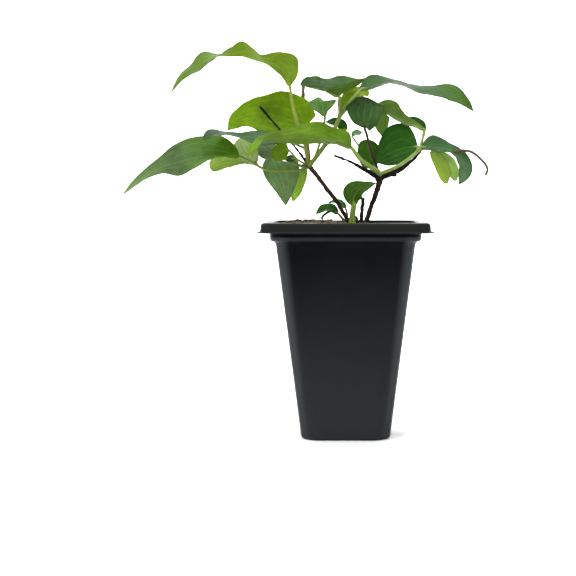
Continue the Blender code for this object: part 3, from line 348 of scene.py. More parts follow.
# Thin stalks with no leaf on them, in the node of the leaf that they grow from
BARE_STALKS = {
    "leaf_right_spray": dict(
        path=[(452, 152, -4.6), (460, 150.6, -4.8), (466, 150.8, -5), (470.2, 151.6, -5),
            (475.3, 154.4, -5), (481.6, 160.2, -5), (485.5, 164.7, -5), (487.4, 169.8, -5),
            (485.5, 174.9, -5)], radius=[0.5, 0.4]),
    "shoot_low": dict(
        path=[(334, 210.4, 4.2), (330, 211.2, 4), (326, 213.4, 3.4), (322.6, 216.4, 3), (322, 219, 3)],
            radius=[0.5, 0.4]),
}

# Colours as seen: a node's stalk, then upper side, lower side and light through for each blade.
# Where an upper side changes along the blade, its base or tip has a tint by node and blade; two of these
# tints are painted light, as marked below.
LOOKS = {
    "leaf_top_left": ["#7e8c34", "#567024 #728c22 #789e26"],
    "leaf_round": ["#7a8840", "#6e8e0a #6f9030 #82aa18"],
    "leaf_small_cupped": ["#7c9448", "#688c4a #769a46 #8eb04c"],
    "leaf_top_pair": ["#748c3c", "#3c5830 #567428 #688e34", "#38582c #5a7844 #6a9040",
        "#869e24 #829c3c #8cac34"],
    "leaf_dark_heart": ["#2c1c08", "#2e4c22 #466230 #3e5e20"],
    "leaf_right_spray": ["#7c944a", "#668238 #8eb85c #84aa44", "#245c06 #3a6420 #386410",
        "#265412 #446c34 #386818", "#3c5c38 #587650 #628848", "#8aa43c #8aa64c #a4c44c",
        "#90b05a #90ac58 #9cbc58"],
    "leaf_right_behind": ["#6c8440", "#386010 #4c742c #4c7c1a", "#6b8260 #768c68 #80986a"],
    "leaf_centre": ["#7c9444", "#587a0e #6a8832 #7a9e34"],
    "leaf_left_long": ["#667e2e", "#445e2e #64844a #5a8030", "#98ae4e #94aa54 #acc45c",
        "#a2b676 #98ac74 #a8be7c"],
    "leaf_left_grey": ["#748848", "#42603a #5e7c56 #5e8050"],
    "leaf_hanging": ["#748c44", "#6a8854 #6c8a56 #708e50", "#9cc046 #96b64c #aecc50"],
    "leaf_left_small": ["#748c44", "#66880c #6e8e34 #76a420", "#768a62 #80946c #8a9c70",
        "#2e4c28 #48623c #3c6030"],
    "leaf_centre_behind": ["#6c8440", "#204808 #385c20 #386010"],
    "shoot_broad": ["#7c9a3c", "#3e621c #4c7c2a #588624"],
    "shoot_low": ["#6c8440", "#306c0e #467624 #52901c", "#2a5c08 #3e681a #467416"],
}
BASE_TINTS = {
    ("leaf_right_spray", 3): "#34582e", ("leaf_left_long", 0): "#5a8a10",
    # leaf_left_grey's paler grey base is a painted sheen
    ("leaf_left_grey", 0): "#546e48", ("shoot_broad", 0): "#446e12"
}
TIP_TINTS = {
    # The brighter tip of leaf_top_pair's long right blade is painted light where it folds
    ("leaf_top_pair", 1): "#406018", ("leaf_right_spray", 0): "#6e8c3c",
    ("leaf_right_spray", 3): "#567650", ("leaf_left_long", 0): "#60764a",
    ("leaf_left_grey", 0): "#34502a"
}
BARE_COLOUR = "#46402c"
NOISE_RANGE = (0.3, 0.7)

# Linear colours of the materials
VEIN_PALE = (0.45, 0.58, 0.28, 1.0)
STALK_BROWN = (0.10, 0.055, 0.028, 1.0)
BARK_GREY = (0.09, 0.072, 0.06, 1.0)
MIX_DARK = (0.018, 0.012, 0.006, 1.0)
MIX_BROWN = (0.088, 0.060, 0.024, 1.0)
MIX_PALE = (0.155, 0.115, 0.055, 1.0)
PAPER = (0.93, 0.93, 0.93, 1.0)
POT_WALL = (0.0012, 0.0014, 0.0020, 1.0)
# Painted light: the wall's colour towards the foot, paler than the plastic itself
POT_FOOT_PAINTED_LIGHT = (0.0200, 0.0220, 0.0265, 1.0)
POT_SCUFF = (0.020, 0.023, 0.022, 1.0)
# Painted highlight on the pot's vertical corners
POT_CORNER_HIGHLIGHT = (0.034, 0.039, 0.041, 1.0)
# Heights in m where each band of the pot starts and is full, and its colour: a painted highlight on the
# shoulder ledge, painted shade in the collar under the lip, and painted light on the rim
POT_PAINTED_BANDS = {
    "shoulder": (0.1170, 0.1180, (0.0200, 0.0245, 0.0290, 1.0)),
    "collar": (0.1192, 0.1200, (0.0004, 0.0005, 0.0007, 1.0)),
    "rim": (0.1212, 0.1220, (0.0120, 0.0145, 0.0135, 1.0)),
}

# Stalks that swell more than the others do
THICK_STALKS = {"shoot_broad": 2.1, "leaf_dark_heart": 1.6, "leaf_right_spray": 1.5,
                "leaf_top_pair": 1.9, "leaf_centre": 2.0, "leaf_top_left": 1.5}
BARE_SWELL = 1.9

# How much thicker than its solid the skin of each run of a stem is, with its bark and knobs
STEM_SWELL = {
    "stem_left": [1.0, 0.85, 1.45],
    "stem_right": [1.2, 1.15, 1.05, 1.7],
    "stem_thin": [1.6],
    "stem_stub": [1.5],
}
STEM_KNOTS = {"stem_left": ["left", "brown_low", "brown_high"], "stem_right": ["right"]}
STEM_COLOURS = {
    "stem_left": ["#3a2822", "#121010", "#66503f"],
    "stem_right": ["#32261f", "#1c1714", "#151210", "#1c1714"],
    "stem_thin": ["#33281f"],
    "stem_stub": ["#33281f"],
}


def at(across, down, depth):
    """The point, in mm, seen at (across, down) in the front drawing, at a depth in mm."""
    unit = DRAWING_UNIT * (EYE_DISTANCE + depth) / EYE_DISTANCE
    return np.array([(across - EYE_ACROSS) * unit, depth, EYE_HEIGHT + (EYE_DOWN - down) * unit])


def unit(vectors):
    return vectors / np.maximum(np.linalg.norm(vectors, axis=-1, keepdims=True), 1e-9)


def between(before, start, end, after, s):
    """Smooth value from start to end, with the neighbours on both sides."""
    line = (end - before) * s
    square = (2 * before - 5 * start + 4 * end - after) * s * s
    cube = (3 * start - before - 3 * end + after) * s ** 3
    return 0.5 * (2 * start + line + square + cube)


def spread(points, count):
    """Points evenly spaced along a smooth curve through the given ones, and its length."""
    points = np.asarray(points, float)
    ends = np.vstack([2 * points[0] - points[1], points, 2 * points[-1] - points[-2]])
    fine = [between(*ends[i - 1:i + 3], s)
            for i in range(1, len(ends) - 2) for s in np.linspace(0, 1, 24, endpoint=False)]
    fine = np.array([*fine, points[-1]])
    run = np.concatenate([[0], np.cumsum(np.linalg.norm(np.diff(fine, axis=0), axis=1))])
    even = np.linspace(0, run[-1], count)
    return np.stack([np.interp(even, run, fine[:, k]) for k in range(3)], 1), run[-1]


def glide(values, t):
    """The values at t, from 0 to 1, on a smooth curve through values at even stations."""
    if not isinstance(values, list):
        return np.full_like(t, float(values))
    if len(values) == 2:
        return values[0] + (values[1] - values[0]) * t
    ends = np.array([2 * values[0] - values[1], *values, 2 * values[-1] - values[-2]], float)
    place = np.clip(t, 0, 1) * (len(values) - 1)
    i = np.minimum(place.astype(int), len(values) - 2)
    return between(ends[i], ends[i + 1], ends[i + 2], ends[i + 3], place - i)


def pair(value):
    """A value for each side of the rib."""
    return value if isinstance(value, tuple) else (value, value)


def sided(value, t, across):
    left, right = pair(value)
    return np.where(across >= 0, glide(left, t), glide(right, t))


def wobble(points, scale, seed=0):
    """Smooth noise from -1 to 1 at each point, with features about scale mm wide."""
    flat = np.asarray(points, float).reshape(-1, 3) / scale + seed * 7.3
    return np.array([noise(Vector(p)) for p in flat]).reshape(np.shape(points)[:-1])


def placed(name, data):
    """A new object with that data, in the scene."""
    made = bpy.data.objects.new(name, data)
    bpy.context.scene.collection.objects.link(made)
    return made


def mesh_of(name, bm):
    mesh = bpy.data.meshes.new(name)
    bm.to_mesh(mesh)
    bm.free()
    return mesh


def ball(subdivisions, radius=1):
    """Points and triangles of a ball, each triangle with its last corner given twice."""
    bm = bmesh.new()
    bmesh.ops.create_icosphere(bm, subdivisions=subdivisions, radius=radius)
    points = np.array([v.co[:] for v in bm.verts])
    faces = np.array([[v.index for v in (*f.verts, f.verts[2])] for f in bm.faces])
    bm.free()
    return points, faces


class Shell:
    """Vertices in mm with faces and point attributes, gathered before they become one piece."""

    def __init__(self):
        self.points, self.faces, self.slots, self.marks = [], [], [], []
        self.count = 0

    def add(self, points, faces, slot, marks):
        """marks is a (points, 8) array: two tints of three values, a vein value and a tone."""
        self.points.append(points)
        self.faces.append(np.asarray(faces) + self.count)
        self.slots.append(np.full(len(faces), slot) if np.isscalar(slot) else np.asarray(slot))
        self.marks.append(marks)
        self.count += len(points)

    def piece(self, name, materials):
        points = np.concatenate(self.points) * MM
        mesh = bpy.data.meshes.new(name)
        corners = [tuple(face) if face[2] != face[3] else tuple(face[:3])
                   for block in self.faces for face in block.tolist()]
        mesh.from_pydata(points.tolist(), [], corners)
        marks = np.concatenate(self.marks)
        for label, columns in (("tint", marks[:, 0:3]), ("glow", marks[:, 3:6])):
            layer = mesh.attributes.new(label, "FLOAT_COLOR", "POINT")
            rgba = np.ones((len(points), 4), np.float32)
            rgba[:, :3] = columns
            layer.data.foreach_set("color", rgba.ravel())
        for label, column in (("vein", marks[:, 6]), ("tone", marks[:, 7])):
            layer = mesh.attributes.new(label, "FLOAT", "POINT")
            layer.data.foreach_set("value", np.ascontiguousarray(column, np.float32))
        for material in materials:
            mesh.materials.append(material)
        mesh.polygons.foreach_set("material_index", np.concatenate(self.slots).astype(np.int32))
        mesh.shade_smooth()
        mesh.update()
        return placed(name, mesh)


def srgb(code):
    """Linear colour from a hex code."""
    values = np.array([int(code[i:i + 2], 16) for i in (1, 3, 5)]) / 255
    return np.where(values <= 0.04045, values / 12.92, ((values + 0.055) / 1.055) ** 2.4)


def marks_of(count, tint, glow, vein=0.0, tone=0.0):
    marks = np.zeros((count, 8))
    marks[:, 0:3] = tint
    marks[:, 3:6] = glow
    marks[:, 6] = vein
    marks[:, 7] = tone
    return marks


def grid_faces(rows, columns, offset=0, flip=False):
    """Quads of a grid of points with rows by columns points."""
    i, j = np.meshgrid(np.arange(rows - 1), np.arange(columns - 1), indexing="ij")
    a = (i * columns + j).ravel() + offset
    quads = np.stack([a, a + columns, a + columns + 1, a + 1], 1)
    return quads[:, ::-1] if flip else quads


def tube(shell, points, radii, slot, marks_row, sides=STALK_SIDES, flat=0.0):
    """A round stalk with closed ends; radii run from its foot to its tip."""
    count = len(points)
    t = np.linspace(0, 1, count)
    forward = unit(np.gradient(points, axis=0))
    first = unit(np.cross(forward, (0.3, 0.9, 0.1)))
    second = np.cross(forward, first)
    radius = glide(radii, t) * (1 + flat * wobble(points, 5.0))
    turn = np.linspace(0, 2 * math.pi, sides, endpoint=False)
    around = (np.cos(turn)[None, :, None] * first[:, None]
              + np.sin(turn)[None, :, None] * second[:, None])
    rings = points[:, None] + radius[:, None, None] * around
    verts = np.concatenate([rings.reshape(-1, 3), [points[0] - forward[0] * radius[0] * 0.6],
                            [points[-1] + forward[-1] * radius[-1] * 0.6]])
    i, j = np.meshgrid(np.arange(count - 1), np.arange(sides), indexing="ij")
    a = (i * sides + j).ravel()
    b = (i * sides + (j + 1) % sides).ravel()
    walls = np.stack([a, b, b + sides, a + sides], 1)
    k = np.arange(sides)
    last = (count - 1) * sides
    foot = np.stack([(k + 1) % sides, k, np.full(sides, count * sides)], 1)
    tip = np.stack([last + k, last + (k + 1) % sides, np.full(sides, count * sides + 1)], 1)
    caps = np.concatenate([foot, tip])
    caps = np.concatenate([caps, caps[:, 2:3]], 1)
    marks = np.tile(marks_row, (len(verts), 1))
    marks[:count * sides, 7] = np.repeat(t, sides)
    marks[-1, 7] = 1
    shell.add(verts, np.concatenate([walls, caps]), slot, marks)


def run_of(places, step):
    length = spread(places, 2)[1]
    return spread(places, max(5, round(length / step) + 1))[0]


def rib_of(leaf):
    """The rib's points with its forward, face and side directions, and its length."""
    points, length = spread([at(*p) for p in leaf["rib"]], RIB_STEPS + 1)
    forward = unit(np.gradient(points, axis=0))
    stations = np.array(leaf["face"], float)
    t = np.linspace(0, 1, RIB_STEPS + 1)
    control = np.linspace(0, 1, len(stations))
    face = np.stack([np.interp(t, control, stations[:, k]) for k in range(3)], 1)
    face = unit(face - (face * forward).sum(1, keepdims=True) * forward)
    return points, forward, face, np.cross(forward, face), length


def rounded_end(apart, half):
    """How much a blade narrows at a place that far in mm from its base or tip."""
    share = np.clip(apart / (END_ROUND * half), 0, 1)
    return np.sqrt(share * (2 - share))


def blade_middle(leaf, rows, halves):
    """Middle surface of a bent blade, with its places along and across, and half width in mm."""
    points, forward, face, side, length = rib_of(leaf)
    even = np.linspace(0, 1, rows + 1)
    along = even - END_CROWDING * np.sin(2 * math.pi * even)
    t, across = np.meshgrid(along, np.linspace(-1, 1, 2 * halves + 1), indexing="ij")
    half = np.maximum(sided(leaf["half"], t, across), TIP_HALF)
    lobe = np.where(across >= 0, *pair(leaf["lobe"]))
    at_base = np.where(lobe > 0, 1, rounded_end(t * length, half))
    half = np.maximum(half * at_base * rounded_end((1 - t) * length, half), TIP_HALF)
    left, right = pair(leaf["half"])
    widest = np.where(across >= 0, max(left), max(right))
    back = lobe * np.sin(np.abs(across) * math.pi / 2) ** 1.6 * (1 - t) ** 3
    run = length * t - back
    place = np.clip(run / length, 0, 1)
    steps = np.linspace(0, 1, RIB_STEPS + 1)

    def pick(values):
        return np.stack([np.interp(place, steps, values[:, k]) for k in range(3)], -1)

    centre = pick(points) + unit(pick(forward)) * np.minimum(run, 0)[..., None]
    fold = np.radians(sided(leaf["fold"], t, across))
    bend = np.radians(sided(leaf["curl"], t, across)) / widest
    bend = np.where(np.abs(bend) < 1e-6, 1e-6, bend)
    reach = half * np.abs(across)
    out = (np.sin(fold + bend * reach) - np.sin(fold)) / bend
    up = -(np.cos(fold + bend * reach) - np.cos(fold)) / bend
    if "wave" in leaf:
        height, count, phase = leaf["wave"]
        turn = count * t + phase + 0.37 * (across < 0)
        up = up + (height * across ** 2 * np.sin(2 * math.pi * turn)
                   * np.minimum(1, 4 * (1 - t)))
    side_way, face_way = unit(pick(side)), unit(pick(face))
    middle = centre + side_way * (out * np.sign(across))[..., None] + face_way * up[..., None]
    return middle, t, across, half, length


def vein_strength(t, across, half):
    """1 on a vein and 0 between: the midrib, and two arching veins a side."""
    width = np.abs(across)
    middle = np.exp(-(width * half / (0.5 - 0.22 * t)) ** 2)
    grow = np.clip(t / 0.3, 0, 1) ** 0.55
    arch = np.zeros_like(t)
    for place, share in ARCHES:
        off = (width - place * grow * (1 - 0.25 * t ** 3)) * half
        arch = np.maximum(arch, share * np.exp(-(off / ARCH_WIDTH) ** 2))
    return middle, arch * np.clip(t * 14, 0, 1) * np.clip((1 - t) * 5, 0, 1)


def rungs(t, across, half, length):
    """Fine slanting cross veins between the arching ones."""
    slant = t * length / 3.4 - np.abs(across) * half / 4.6 + 0.4 * (across > 0)
    off = np.abs((slant % 1) - 0.5) * 2
    return np.clip((off - 0.86) / 0.14, 0, 1) * np.clip((1 - t) * 4, 0, 1)


def add_blade(shell, leaf, look, seed):
    """A thin closed blade with sunk veins above, raised veins below and a slightly rippled edge."""
    length = rib_of(leaf)[4]
    rows, halves = SMALL_GRID if length < SMALL_LEAF else LARGE_GRID
    middle, t, across, half, length = blade_middle(leaf, rows, halves)
    normal = unit(np.cross(np.gradient(middle, axis=1), np.gradient(middle, axis=0)))
    rib_vein, arch_vein = vein_strength(t, across, half)
    rung = rungs(t, across, half, length)
    ripple = wobble(middle, 7.0, seed) * np.abs(across) ** 2 * RIPPLE
    puff = wobble(middle, 3.6, seed + 3) * PUFF
    middle = middle + normal * (ripple * np.clip((1 - t) * 6, 0, 1))[..., None]
    edge = np.clip((1 - np.abs(across)) * half / 1.2, 0, 1)
    thick = EDGE_THICKNESS + (BLADE_THICKNESS - EDGE_THICKNESS) * edge
    sink = (VEIN_SINK * rib_vein + VEIN_SINK * arch_vein + RUNG_SINK * rung) * edge
    keel = (0.4 * rib_vein * (1 - 0.7 * t) + 0.16 * arch_vein + 0.06 * rung) * edge
    top = middle + normal * (thick / 2 - sink + puff)[..., None]
    under = middle - normal * (thick / 2 + keel - puff)[..., None]
    count_rows, count_across = t.shape
    vein = np.clip(rib_vein + 0.75 * arch_vein + 0.36 * rung, 0, 1).ravel()
    tone = t.ravel()
    above = marks_of(top.size // 3, look["top"], look["glow"], vein, tone)
    below = marks_of(top.size // 3, look["under"], look["glow"], vein, tone)
    for end, share in (("base", 1 - tone / BASE_FADE), ("tip", (tone - TIP_FADE) / TIP_FADE)):
        if end in look:
            share = np.clip(share, 0, 1)[:, None]
            above[:, 0:3] = above[:, 0:3] * (1 - share) + look[end] * share
    size = count_rows * count_across
    ring = np.concatenate([
        np.arange(count_across),
        np.arange(1, count_rows) * count_across + count_across - 1,
        (count_rows - 1) * count_across + np.arange(count_across - 2, -1, -1),
        np.arange(count_rows - 2, 0, -1) * count_across])
    follow = np.roll(ring, -1)
    rim = np.stack([ring, follow, follow + size, ring + size], 1)[:, ::-1]
    upper = grid_faces(count_rows, count_across, 0, True)
    lower = grid_faces(count_rows, count_across, size)
    faces = np.concatenate([upper, lower, rim])
    slots = np.concatenate([np.zeros(len(upper)), np.ones(len(lower)), np.ones(len(rim))])
    shell.add(np.concatenate([top.reshape(-1, 3), under.reshape(-1, 3)]), faces, slots,
              np.concatenate([above, below]))


def stalk_run(leaf):
    """The stalk from inside the stem it grows from, and on under the blade's midrib."""
    places = [at(*p) for p in leaf["stalk"]]
    if "knot" in leaf:
        place, radius = KNOTS[leaf["knot"]]
        centre = at(*place)
        out = unit(places[0] - centre)
        places = [centre + out * radius * 0.4, centre + out * (radius + 1.2)] + places[1:]
    points, _, face, _, length = rib_of(leaf)
    reach = min(STALK_IN_BLADE, 0.35 * length)
    tip = STALK_SWELL * leaf["radius"][-1]
    for share in (0.3, 0.6, 1.0):
        i = int(share * reach / length * RIB_STEPS)
        places.append(points[i] - face[i] * (0.1 + tip * (1 - STALK_TAPER * share)))
    return run_of(places, STALK_STEP), spread(places, 2)[1], reach


def add_stalk(shell, leaf, look, swell):
    points, length, reach = stalk_run(leaf)
    foot, tip = (swell * leaf["radius"][end] for end in (0, -1))
    bare = 1 - reach / length
    radii = []
    for t in np.linspace(0, 1, STALK_STATIONS):
        under_blade = max(0, (t - bare) / (1 - bare))
        radii.append((foot + (tip - foot) * min(1, t / bare)) * (1 - STALK_TAPER * under_blade))
    if "knot" in leaf:
        radii[0] = foot * 1.25
    row = marks_of(1, look["stalk"], look["glow"], 0.0, 0.0)[0]
    tube(shell, points, radii, 2, row, STALK_SIDES, 0.06)


class Nodes:
    """A material's node tree, with short calls for what this script needs."""

    def __init__(self, name):
        self.material = bpy.data.materials.new(name)
        self.material.use_nodes = True
        self.tree = self.material.node_tree
        self.shader = self.tree.nodes["Principled BSDF"]
        self.output = self.tree.nodes["Material Output"]

    def add(self, kind, inputs=None, **settings):
        node = self.tree.nodes.new(kind)
        for key, value in settings.items():
            setattr(node, key, value)
        for key, value in (inputs or {}).items():
            self.feed(node.inputs[key], value)
        return node

    def feed(self, socket, value):
        if isinstance(value, bpy.types.NodeSocket):
            self.tree.links.new(value, socket)
        else:
            socket.default_value = value

    def attribute(self, name, colour=False):
        node = self.add("ShaderNodeAttribute", attribute_name=name)
        return node.outputs["Color" if colour else "Fac"]

    def here(self):
        """Object coordinates."""
        return self.add("ShaderNodeTexCoord").outputs["Object"]

    def axes(self):
        return self.add("ShaderNodeSeparateXYZ", {0: self.here()}).outputs

    def place(self, scale):
        """Object coordinates in steps of 1/scale metres."""
        mapping = self.add("ShaderNodeMapping", {"Vector": self.here(), "Scale": scale})
        return mapping.outputs["Vector"]

    def noise(self, scale, detail=3.0, roughness=0.5, vector=None):
        inputs = {"Scale": scale, "Detail": detail, "Roughness": roughness,
                  "Vector": vector or self.here()}
        return self.add("ShaderNodeTexNoise", inputs).outputs["Fac"]

    def cells(self, scale, feature="F1"):
        return self.add("ShaderNodeTexVoronoi", {"Scale": scale, "Vector": self.here()},
                        feature=feature)

    def remap(self, value, low, high, new_low, new_high):
        inputs = {"Value": value, "From Min": low, "From Max": high, "To Min": new_low,
                  "To Max": new_high}
        return self.add("ShaderNodeMapRange", inputs).outputs["Result"]

    def level(self, value, low, high):
        """The middle range of a noise, stretched from low to high."""
        return self.remap(value, *NOISE_RANGE, low, high)

    def math(self, kind, first, second):
        return self.add("ShaderNodeMath", {0: first, 1: second}, operation=kind).outputs[0]

    def mix(self, share, first, second, kind="MIX"):
        node = self.add("ShaderNodeMix", data_type="RGBA", blend_type=kind, clamp_factor=True)
        self.feed(node.inputs[0], share)
        self.feed(node.inputs[6], first)
        self.feed(node.inputs[7], second)
        return node.outputs[2]

    def brighten(self, colour, amount):
        """The colour times a linked value."""
        grey = self.add("ShaderNodeCombineColor", {0: amount, 1: amount, 2: amount})
        return self.mix(1.0, colour, grey.outputs[0], "MULTIPLY")

    def bump(self, height, distance, strength=1.0, normal=None):
        inputs = {"Height": height, "Distance": distance, "Strength": strength}
        if normal is not None:
            inputs["Normal"] = normal
        return self.add("ShaderNodeBump", inputs).outputs["Normal"]

    def surface(self, **values):
        for key, value in values.items():
            self.feed(self.shader.inputs[key.replace("_", " ")], value)
        return self.material


def leaf_material(name, share_through, paler, gloss):
    """Leaf skin: its own tint, mottled in broad patches that also paint light and shade across the blade,
    with paler veins, a fine net and light that comes through.
    """
    n = Nodes(name)
    tint = n.attribute("tint", True)
    vein = n.attribute("vein")
    # Broad patches: partly the leaf's own mottling, partly painted light and shade
    patch = n.level(n.noise(65.0, 4.0, 0.6), 0.6, 1.36)
    speck = n.level(n.noise(700.0, 3.0, 0.7), 0.88, 1.12)
    net = n.remap(n.cells(950.0, "DISTANCE_TO_EDGE").outputs["Distance"], 0.0, 0.14, 1.0, 0.0)
    body = n.brighten(tint, n.math("MULTIPLY", patch, speck))
    pale = n.mix(0.08, n.brighten(body, 2.0), VEIN_PALE)
    net_share = n.math("MULTIPLY", net, 0.16)
    veined = n.mix(net_share, body, pale)
    veined = n.mix(n.math("MULTIPLY", vein, paler), veined, pale)
    rough = n.level(n.noise(240.0, 2.0), gloss - 0.06, gloss + 0.08)
    relief = n.math("ADD", n.math("MULTIPLY", net, -0.4), n.noise(1500.0, 2.0))
    n.surface(Base_Color=veined, Roughness=rough, Normal=n.bump(relief, 0.00012, 0.55))
    n.shader.inputs["Specular IOR Level"].default_value = 0.1
    glow = n.brighten(n.attribute("glow", True), n.remap(vein, 0.0, 1.0, 1.0, 0.72))
    through = n.add("ShaderNodeBsdfTranslucent", {"Color": glow})
    both = n.add("ShaderNodeMixShader", {0: share_through, 1: n.shader.outputs[0],
                                         2: through.outputs[0]})
    n.tree.links.new(both.outputs[0], n.output.inputs["Surface"])
    return n.material


def stalk_material():
    """Soft green stalk, mottled and a little browner at its foot."""
    n = Nodes("stalk_green")
    tint = n.attribute("tint", True)
    mottle = n.level(n.noise(420.0, 4.0, 0.6), 0.8, 1.18)
    foot = n.remap(n.attribute("tone"), 0.0, 0.25, 0.3, 0.0)
    body = n.mix(foot, n.brighten(tint, mottle), STALK_BROWN)
    n.surface(Base_Color=body, Roughness=n.level(n.noise(300.0), 0.42, 0.6),
              Normal=n.bump(n.noise(1400.0, 3.0), 0.00015, 0.5))
    n.shader.inputs["Specular IOR Level"].default_value = 0.25
    n.shader.inputs["Subsurface Weight"].default_value = 0.12
    n.shader.inputs["Subsurface Radius"].default_value = (0.001, 0.0014, 0.0004)
    n.shader.inputs["Subsurface Scale"].default_value = 0.5
    return n.material


def bark_material():
    """Young bark: brown tints in fine lengthwise fibres, greyer on the raised ones."""
    n = Nodes("young_bark")
    tint = n.attribute("tint", True)
    fibre = n.noise(1.0, 5.0, 0.65, n.place((1500.0, 1500.0, 260.0)))
    patch = n.level(n.noise(160.0, 3.0), 0.7, 1.35)
    body = n.brighten(tint, n.math("MULTIPLY", patch, n.level(fibre, 0.55, 1.5)))
    grey = n.mix(n.remap(fibre, 0.6, 0.8, 0.0, 0.3), body, BARK_GREY)
    n.surface(Base_Color=grey, Roughness=n.level(fibre, 0.88, 0.62),
              Normal=n.bump(fibre, 0.00035, 0.9))
    n.shader.inputs["Specular IOR Level"].default_value = 0.12
    return n.material


def pot_corners(n):
    """1 at the vertical corners of the pot, where a highlight is painted, and 0 on its flat sides."""
    place = n.axes()
    off = [n.add("ShaderNodeMath", {0: place[axis]}, operation="ABSOLUTE").outputs[0]
           for axis in ("X", "Y")]
    lesser = n.math("MINIMUM", *off)
    half = n.remap(place["Z"], 0.0, SHOULDER * MM, FOOT_HALF * MM, SHOULDER_HALF * MM)
    share = n.math("DIVIDE", lesser, half)
    return n.remap(share, 0.8, 0.9, 0.0, 1.0)


def pot_material():
    """Thin black moulded plastic: faintly rippled and scuffed, with painted light that makes it paler
    towards the foot and on the rim, painted highlights on the shoulder ledge and the vertical corners, and
    painted shade in the collar.
    """
    n = Nodes("black_plastic")
    scuff = n.remap(n.noise(36.0, 6.0, 0.7), 0.35, 0.75, 0.0, 1.0)
    height = n.axes()["Z"]
    # Painted light: the wall turns paler towards the foot
    low = n.remap(height, 0.005, 0.110, 1.0, 0.0)
    body = n.mix(low, POT_WALL, POT_FOOT_PAINTED_LIGHT)
    shares = {}
    # Painted bands: a highlight on the shoulder ledge, shade in the collar, light on the rim
    for band, (start, full, colour) in POT_PAINTED_BANDS.items():
        shares[band] = n.remap(height, start, full, 0.0, 1.0)
        body = n.mix(shares[band], body, colour)
    scuffs_and_painted_light = n.mix(n.math("MULTIPLY", scuff, 0.12), body, POT_SCUFF)
    # Painted highlight down the vertical corners, fading out where the collar's painted shade starts
    corner_highlight = n.math("MULTIPLY", pot_corners(n), n.remap(shares["collar"], 0.0, 1.0, 0.85, 0.0))
    scuffs_and_painted_light = n.mix(corner_highlight, scuffs_and_painted_light, POT_CORNER_HIGHLIGHT)
    grain = n.noise(2600.0, 2.0)
    flow = n.noise(1.0, 3.0, 0.5, n.place((55.0, 55.0, 12.0)))
    rough = n.remap(n.math("ADD", n.math("MULTIPLY", scuff, 0.5), flow), 0.3, 1.1, 0.3, 0.46)
    ripple = n.bump(flow, 0.0009, 0.35)
    n.surface(Base_Color=scuffs_and_painted_light, Roughness=rough, Normal=n.bump(grain, 0.00004, 0.5, ripple))
    n.shader.inputs["Specular IOR Level"].default_value = 0.04
    return n.material


def mix_material():
    """Damp potting mix: brown crumbs of different tones, with painted shade for dark hollows between them.
    """
    n = Nodes("potting_mix_crumbs")
    cell = n.cells(620.0)
    tone = n.add("ShaderNodeSeparateColor", {0: cell.outputs["Color"]}).outputs[0]
    base = n.mix(tone, MIX_DARK, MIX_BROWN)
    fine = n.noise(1900.0, 4.0, 0.7)
    body = n.mix(n.remap(fine, 0.35, 0.7, 0.0, 0.6), base, MIX_PALE)
    # Painted shade: broad noise darkens the mix as if in hollows between crumbs
    painted_hollow_shade = n.remap(n.noise(210.0, 3.0), 0.35, 0.6, 0.45, 1.15)
    relief = n.math("ADD", cell.outputs["Distance"], fine)
    n.surface(Base_Color=n.brighten(body, painted_hollow_shade), Roughness=n.level(fine, 0.8, 0.98),
              Normal=n.bump(relief, 0.0008, 1.0))
    return n.material


def crumb_material():
    """Bark chips and peat crumbs, each with its own tint."""
    n = Nodes("bark_crumbs")
    tint = n.attribute("tint", True)
    grain = n.noise(1.0, 4.0, 0.6, n.place((900.0, 900.0, 2400.0)))
    body = n.brighten(tint, n.level(grain, 0.6, 1.4))
    n.surface(Base_Color=body, Roughness=n.level(grain, 0.75, 0.95),
              Normal=n.bump(grain, 0.0004, 0.9))
    return n.material


def floor_material():
    """Smooth matte studio paper with an even, almost invisible grain."""
    n = Nodes("studio_paper")
    fleck = n.level(n.noise(700.0, 2.0), 0.985, 1.0)
    n.surface(Base_Color=n.brighten(PAPER, fleck), Roughness=0.9)
    n.shader.inputs["Specular IOR Level"].default_value = 0.1
    return n.material


def rounded_square(half, corner, height, bow=0.0):
    """Points in mm round a square with round corners and straight or slightly bowed sides."""
    points = []
    flat = half - corner
    for quarter in range(4):
        turn = Matrix.Rotation(quarter * math.pi / 2, 3, "Z")
        for step in range(CORNER_STEPS + 1):
            angle = step / CORNER_STEPS * math.pi / 2
            out = Vector((flat + corner * math.cos(angle), flat + corner * math.sin(angle), height))
            points.append(turn @ out)
        for step in range(1, SIDE_STEPS):
            share = step / SIDE_STEPS
            x = flat * (1 - 2 * share)
            y = half + bow * math.sin(math.pi * share)
            points.append(turn @ Vector((x, y, height)))
    return points


def loft(name, rings, material, node):
    """A closed body through rings of points in mm, with flat ends, that stands for a node."""
    bm = bmesh.new()
    loops = [[bm.verts.new(point * MM) for point in ring] for ring in rings]
    bm.faces.new(reversed(loops[0]))
    bm.faces.new(loops[-1])
    for low, high in zip(loops, loops[1:]):
        for i in range(len(low)):
            j = (i + 1) % len(low)
            bm.faces.new((low[i], low[j], high[j], high[i]))
    mesh = mesh_of(name, bm)
    mesh.materials.append(material)
    made = placed(name, mesh)
    settle(made, node)
    return made


def settle(piece, node):
    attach(piece, "root")
    if node:
        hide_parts(node)


def wall_half(height):
    return FOOT_HALF + (SHOULDER_HALF - FOOT_HALF) * height / SHOULDER


def wall_corner(height):
    return FOOT_CORNER + (BODY_CORNER - FOOT_CORNER) * height / SHOULDER


def arc(centre, radius, start, end, steps):
    """Points (out, up) of an arc in a profile, angles in degrees."""
    return [(centre[0] + radius * math.cos(math.radians(a)),
             centre[1] + radius * math.sin(math.radians(a)))
            for a in np.linspace(start, end, steps)]


